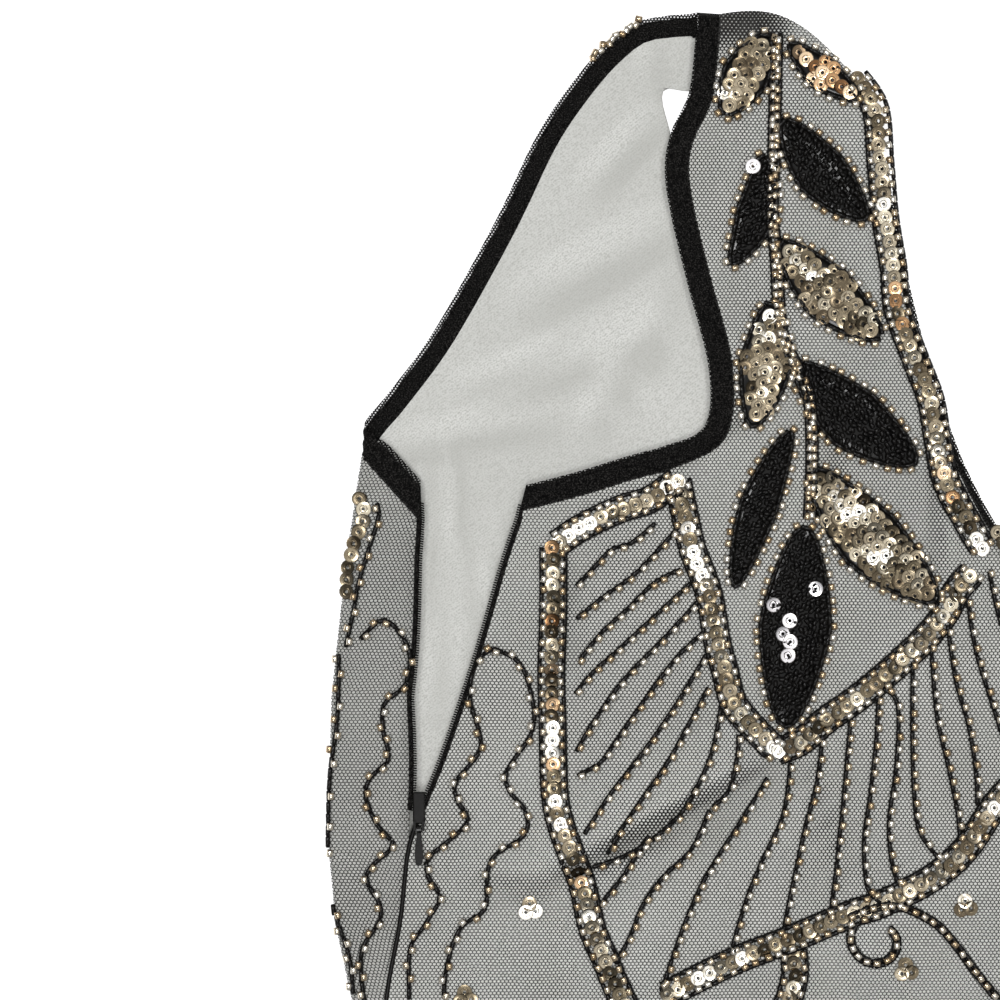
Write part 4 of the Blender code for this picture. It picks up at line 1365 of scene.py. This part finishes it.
def sew_line(points, mirrored=False, side=0, pitch=PITCH_GOLD):
    chain = smooth_chain(points, mirrored)
    sew_cord(chain)
    sew_gold(chain, pitch, side, dice.uniform(1.0, 3.0))


def sew_sequins(chain, kind):
    for spot, run in even_walk(chain, PITCH_SEQUIN, 0.5):
        spot = spot + Vector((dice.uniform(-0.35, 0.35), dice.uniform(-0.35, 0.35)))
        chosen = kind
        if kind == "mixed":
            chosen = "copper" if dice.random() < 0.12 else "gold"
        sew(chosen, spot, run, SEQUIN_HEIGHT, dice.gauss(0.12, 0.09), dice.gauss(0.0, 0.12))


def sew_peeking(edge, first, last, pitch):
    """Beads of the back that peep out beyond its edge, low down beside it."""
    for spot, run in along_edge(edge, first, last, pitch):
        seat = spot + Vector((-run.y, run.x)) * dice.uniform(*PEEK_REACH)
        turned = Matrix.Rotation(dice.uniform(-1.2, 1.2), 2) @ run
        point = place(seat.x, seat.y, BACK, MIDDLE - PEEK_HEIGHT)
        sewn["bead"].append((frame_at(point, flat_direction(turned), UP), dice.random()))


def sew_band(points, mirrored=False, kind="gold", cords=(1, -1)):
    chain = smooth_chain(points, mirrored)
    sew_sequins(chain, kind)
    for way in cords:
        beside = offset_chain(chain, BAND_CORD_OFFSET * way)
        sew_cord(beside)
        sew_gold(beside, PITCH_BAND_GOLD, -way)


print("sequins stand", PITCH_SEQUIN, "mm apart, cord beads", PITCH_CORD, "mm")

# %% [markdown]
# ## Skirt
# Below the bodice the design runs out plainly: the side band goes on to the hem, wavy bead lines hang
# beside it, and a band of sequins edges the hem. Each wave keeps its share of the skirt's width, so the
# lines spread as the skirt widens.

# %% rules for the skirt
WAVE_SHARES = [0.13, 0.30, 0.80, 0.93]
WAVE_REACH = 7.0
WAVE_LENGTH = 62.0
WAVE_STEP = 12.0
WAVE_TOPS = [372.0, 380.0, 352.0, 352.0]
HEM_BAND_DROP = 1284.0
SKIRT_SPLIT = 352.0


def skirt_wave(share, top):
    """Points of a wavy line from its top to the hem, on the left half."""
    points = []
    drop = top
    while drop < HEM_BAND_DROP - 6:
        x = read_table(FOLD, drop, 1) * share + WAVE_REACH * math.sin(math.tau * drop / WAVE_LENGTH)
        points.append((x, drop))
        drop += WAVE_STEP
    return points


def hem_band():
    half = -read_table(FOLD, HEM_BAND_DROP, 1)
    return [(x, HEM_BAND_DROP) for x in (-half + 2, -half / 2, 0.0, half / 2, half - 2)]


print(2 * len(WAVE_SHARES), "wavy lines on the skirt")

# %% sew the lines and bands
HAND_SIDES = (False, True)
PITCH_STEM = 3.4
PITCH_SCROLL = 3.6
STEM_HALF = 1.6
SCROLL_CORD = 1.7
TRIO_TURNS = (0.4, 2.5, 4.6)
TRIO_REACH = 1.9


def scroll_turns():
    """Points of the scroll, whose radius shrinks as it turns."""
    points = []
    for share in [step / 9 for step in range(10)]:
        radius = SCROLL_RADIUS * (1 - share * SCROLL_SHRINK)
        turn = share * SCROLL_SWEEP - SCROLL_START
        points.append((SCROLL_CENTRE[0] - radius * math.cos(turn),
                       SCROLL_CENTRE[1] + radius * math.sin(turn)))
    return points


for mirrored in HAND_SIDES:
    for way in (1, -1):
        stem = offset_chain(smooth_chain(STEM, mirrored), -STEM_HALF * way)
        sew_cord(stem)
        sew_gold(stem, PITCH_STEM, way)
    sew_band(NECK_BAND, mirrored, "mixed")
    sew_band(NECK_BAND_DOWN, mirrored, "gold", (1,))
    for points in (CHEVRON_LEFT, CHEVRON_RIGHT, SHOULDER_BAND):
        sew_band(points, mirrored)
    sew_band(SIDE_BAND, mirrored, "mixed")
    for points in (BOTTOM_BAND, TAIL_BAND):
        sew_band(points, mirrored)
    for points in WAVES + FOLD_LINES:
        sew_line(points, mirrored)
    for points in FAN_LINES + LONG_LINES:
        sew_line(points, mirrored, 1)
    turns = scroll_turns()
    for points in (SCROLL_TAIL, turns):
        sew_line(points, mirrored, 1, PITCH_SCROLL)
    for points in (turns, SCROLL_TAIL):
        sew_cord(offset_chain(smooth_chain(points, mirrored), SCROLL_CORD * (-1 if mirrored else 1)))
    for x, drop in TRIOS:
        spot = mirror_front(Vector((x, drop))) if mirrored else Vector((x, drop))
        for turn in TRIO_TURNS:
            away = Vector((math.cos(turn), math.sin(turn)))
            sew("gold", spot + away * TRIO_REACH, away, SEQUIN_HEIGHT, 0.1, 0.0)
    for share, top in zip(WAVE_SHARES, WAVE_TOPS):
        sew_line(skirt_wave(share, top), mirrored)
sew_sequins(smooth_chain(FOLD_BAND), "gold")
sew_band(hem_band())
sew_peeking(EDGES[1], *PEEK_ROWS, PITCH_PEEK)
print({kind: len(items) for kind, items in sewn.items()})

# %% [markdown]
# ## Leaves
# A leaf is thickly sewn: its area is filled with rows of black beads, or with sequins that overlap like
# scales, and a cord with gold beads runs round it. The ground under the filling is a low dome of black
# thread, made from rings that are pressed to the leaf's outline. It takes the place of the solid leaf.

# %% leaves
GROUND_HEIGHT = 0.9
GROUND_SIDES = 28
GROUND_RINGS = [(1.0, 0.0), (0.92, 0.55), (0.6, 0.9), (0.0, 1.0)]
FILL_STEPS = {"black": (2.3, 1.7, 0.9), "sequins": (4.0, 3.5, 1.2)}
PITCH_LEAF_CORD = 3.7
PITCH_LEAF_GOLD = 4.3
RIM_STEPS = 60
leaf_seed = random.Random(7)


def leaf_spot(leaf, along, across):
    """Spot on the pattern: along runs -1 to 1 from base to tip, across -1 to 1 over the width."""
    base = Vector(leaf[0:2])
    tip = Vector(leaf[2:4])
    width, bow = leaf[4:6]
    run = (tip - base).normalized()
    over = Vector((-run.y, run.x))
    return base.lerp(tip, (along + 1) / 2) + over * (across * width / 2 + bow * (1 - along ** 2))


def rim(turn, reach=1.0):
    """Along and across of a leaf's rim at a turn."""
    narrowing = 1 - LEAF_POINTEDNESS * abs(math.cos(turn))
    return reach * math.cos(turn), reach * math.sin(turn) * narrowing


def ground_rise(reach):
    """Height of the ground at a reach of 0 in the middle to 1 at the rim."""
    return GROUND_HEIGHT * math.sqrt(max(0.0, 1 - reach ** 2))


def ground_mesh(leaf, mirrored):
    bm = bmesh.new()
    bmesh.ops.create_circle(bm, cap_ends=False, segments=GROUND_SIDES, radius=1.0)
    loop = list(bm.edges)
    ring_of = {vert: 0 for vert in bm.verts}
    turn_of = {vert: math.atan2(vert.co.y, vert.co.x) for vert in bm.verts}
    for number in range(1, len(GROUND_RINGS) - 1):
        before = {vert.co.to_tuple(4): turn_of[vert] for edge in loop for vert in edge.verts}
        grown = bmesh.ops.extrude_edge_only(bm, edges=loop)["geom"]
        for item in grown:
            if isinstance(item, bmesh.types.BMVert):
                ring_of[item] = number
                turn_of[item] = before[item.co.to_tuple(4)]
        loop = [item for item in grown if isinstance(item, bmesh.types.BMEdge)
                and all(ring_of[vert] == number for vert in item.verts)]
    filled = bmesh.ops.edgeloop_fill(bm, edges=loop)["faces"]
    middle = bmesh.ops.poke(bm, faces=filled)["verts"][0]
    ring_of[middle] = len(GROUND_RINGS) - 1
    turn_of[middle] = 0.0
    for vert in bm.verts:
        reach, rise = GROUND_RINGS[ring_of[vert]]
        spot = leaf_spot(leaf, *rim(turn_of[vert], reach))
        spot = mirror_front(spot) if mirrored else spot
        vert.co = on_top(spot.x, spot.y, 0.05 + GROUND_HEIGHT * rise)[0]
    bmesh.ops.recalc_face_normals(bm, faces=bm.faces)
    return bm


def fill_leaf(leaf, mirrored):
    """Sequins like scales, or rows of black beads, over the ground."""
    finish = leaf[6]
    length = (Vector(leaf[2:4]) - Vector(leaf[0:2])).length
    width = leaf[4]
    step_along, step_across, border = FILL_STEPS["black" if finish == "black" else "sequins"]
    rows = math.ceil(width / step_across)
    columns = math.ceil(length / step_along)
    for column in range(columns + 1):
        for row in range(-rows, rows + 1):
            along = -1 + 2 * (column + (0.5 if row % 2 else 0.0)) / columns
            across = row * step_across / (width / 2)
            along += leaf_seed.uniform(-0.3, 0.3) * step_along / length
            room_across = 1 - 2 * border / width
            room_along = 1 - 2 * border / length
            if abs(along) >= room_along:
                continue
            turn = math.acos(min(max(along / room_along, -1.0), 1.0))
            if abs(across) > rim(turn, 1.0)[1] * room_across:
                continue
            spot = leaf_spot(leaf, along, across)
            ahead = leaf_spot(leaf, along + 0.02, across)
            if mirrored:
                spot, ahead = mirror_front(spot), mirror_front(ahead)
            rise = ground_rise(math.hypot(along, across) * 0.9) + 0.05
            run = (ahead - spot).normalized()
            if finish == "black":
                run = Matrix.Rotation(leaf_seed.gauss(0.45, 0.5), 2) @ run
                spot = spot + Vector((leaf_seed.uniform(-0.4, 0.4), leaf_seed.uniform(-0.4, 0.4)))
                sew("fill", spot, run, rise + 0.5 + leaf_seed.uniform(0.0, 0.5), leaf_seed.gauss(0, 0.22))
            else:
                lean = leaf_seed.gauss(0.10, 0.09)
                sew(finish, spot, run, rise + 0.45, lean, leaf_seed.gauss(0, 0.10))


grounds = bmesh.new()
for leaf in LEAVES:
    for mirrored in HAND_SIDES:
        gather(grounds, ground_mesh(leaf, mirrored))
        fill_leaf(leaf, mirrored)
        outline = [leaf_spot(leaf, *rim(math.tau * step / RIM_STEPS)) for step in range(RIM_STEPS + 1)]
        if mirrored:
            outline = [mirror_front(point) for point in outline]
        sew_cord(outline, PITCH_LEAF_CORD)
        way = -1 if mirrored else 1
        sew_gold(offset_chain(outline, 0.7 * way), PITCH_LEAF_GOLD, way)
leaf_grounds = finish_object("leaf_grounds", grounds, black_material)
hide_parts(*["leaf_%s_%02d" % (hand, number)
                            for hand in ("left", "right") for number in range(1, 11)])
for x, drop in SILVER_ON_LEAVES:
    sew("silver", Vector((x, drop)), Vector((1.0, 0.2)), GROUND_HEIGHT + 1.5, leaf_seed.gauss(0, 0.1), 0.05)
print({kind: len(items) for kind, items in sewn.items()})

# %% make the sewn pieces
split = (LENGTH / 2 - SKIRT_SPLIT) * MM
for kind, name, shape, material, slot in (
        ("gold", "sequins_gold", SEQUIN, gold_material, "gold"),
        ("copper", "sequins_copper", SEQUIN, copper_material, "gold"),
        ("silver", "sequins_silver", SEQUIN, silver_material, "gold"),
        ("bead", "beads_gold", BEAD, bead_material, "gold"),
        ("cord", "beads_black", CORD_BEAD, black_material, "beads"),
        ("fill", "beads_leaf_fill", FILL_BEAD, black_material, "beads")):
    for ending, on_skirt in (("_bodice", False), ("_skirt", True)):
        places = [item for item in sewn[kind] if (item[0].translation.y < split) == on_skirt]
        if places:
            build_many(name + ending, shape, places, material)
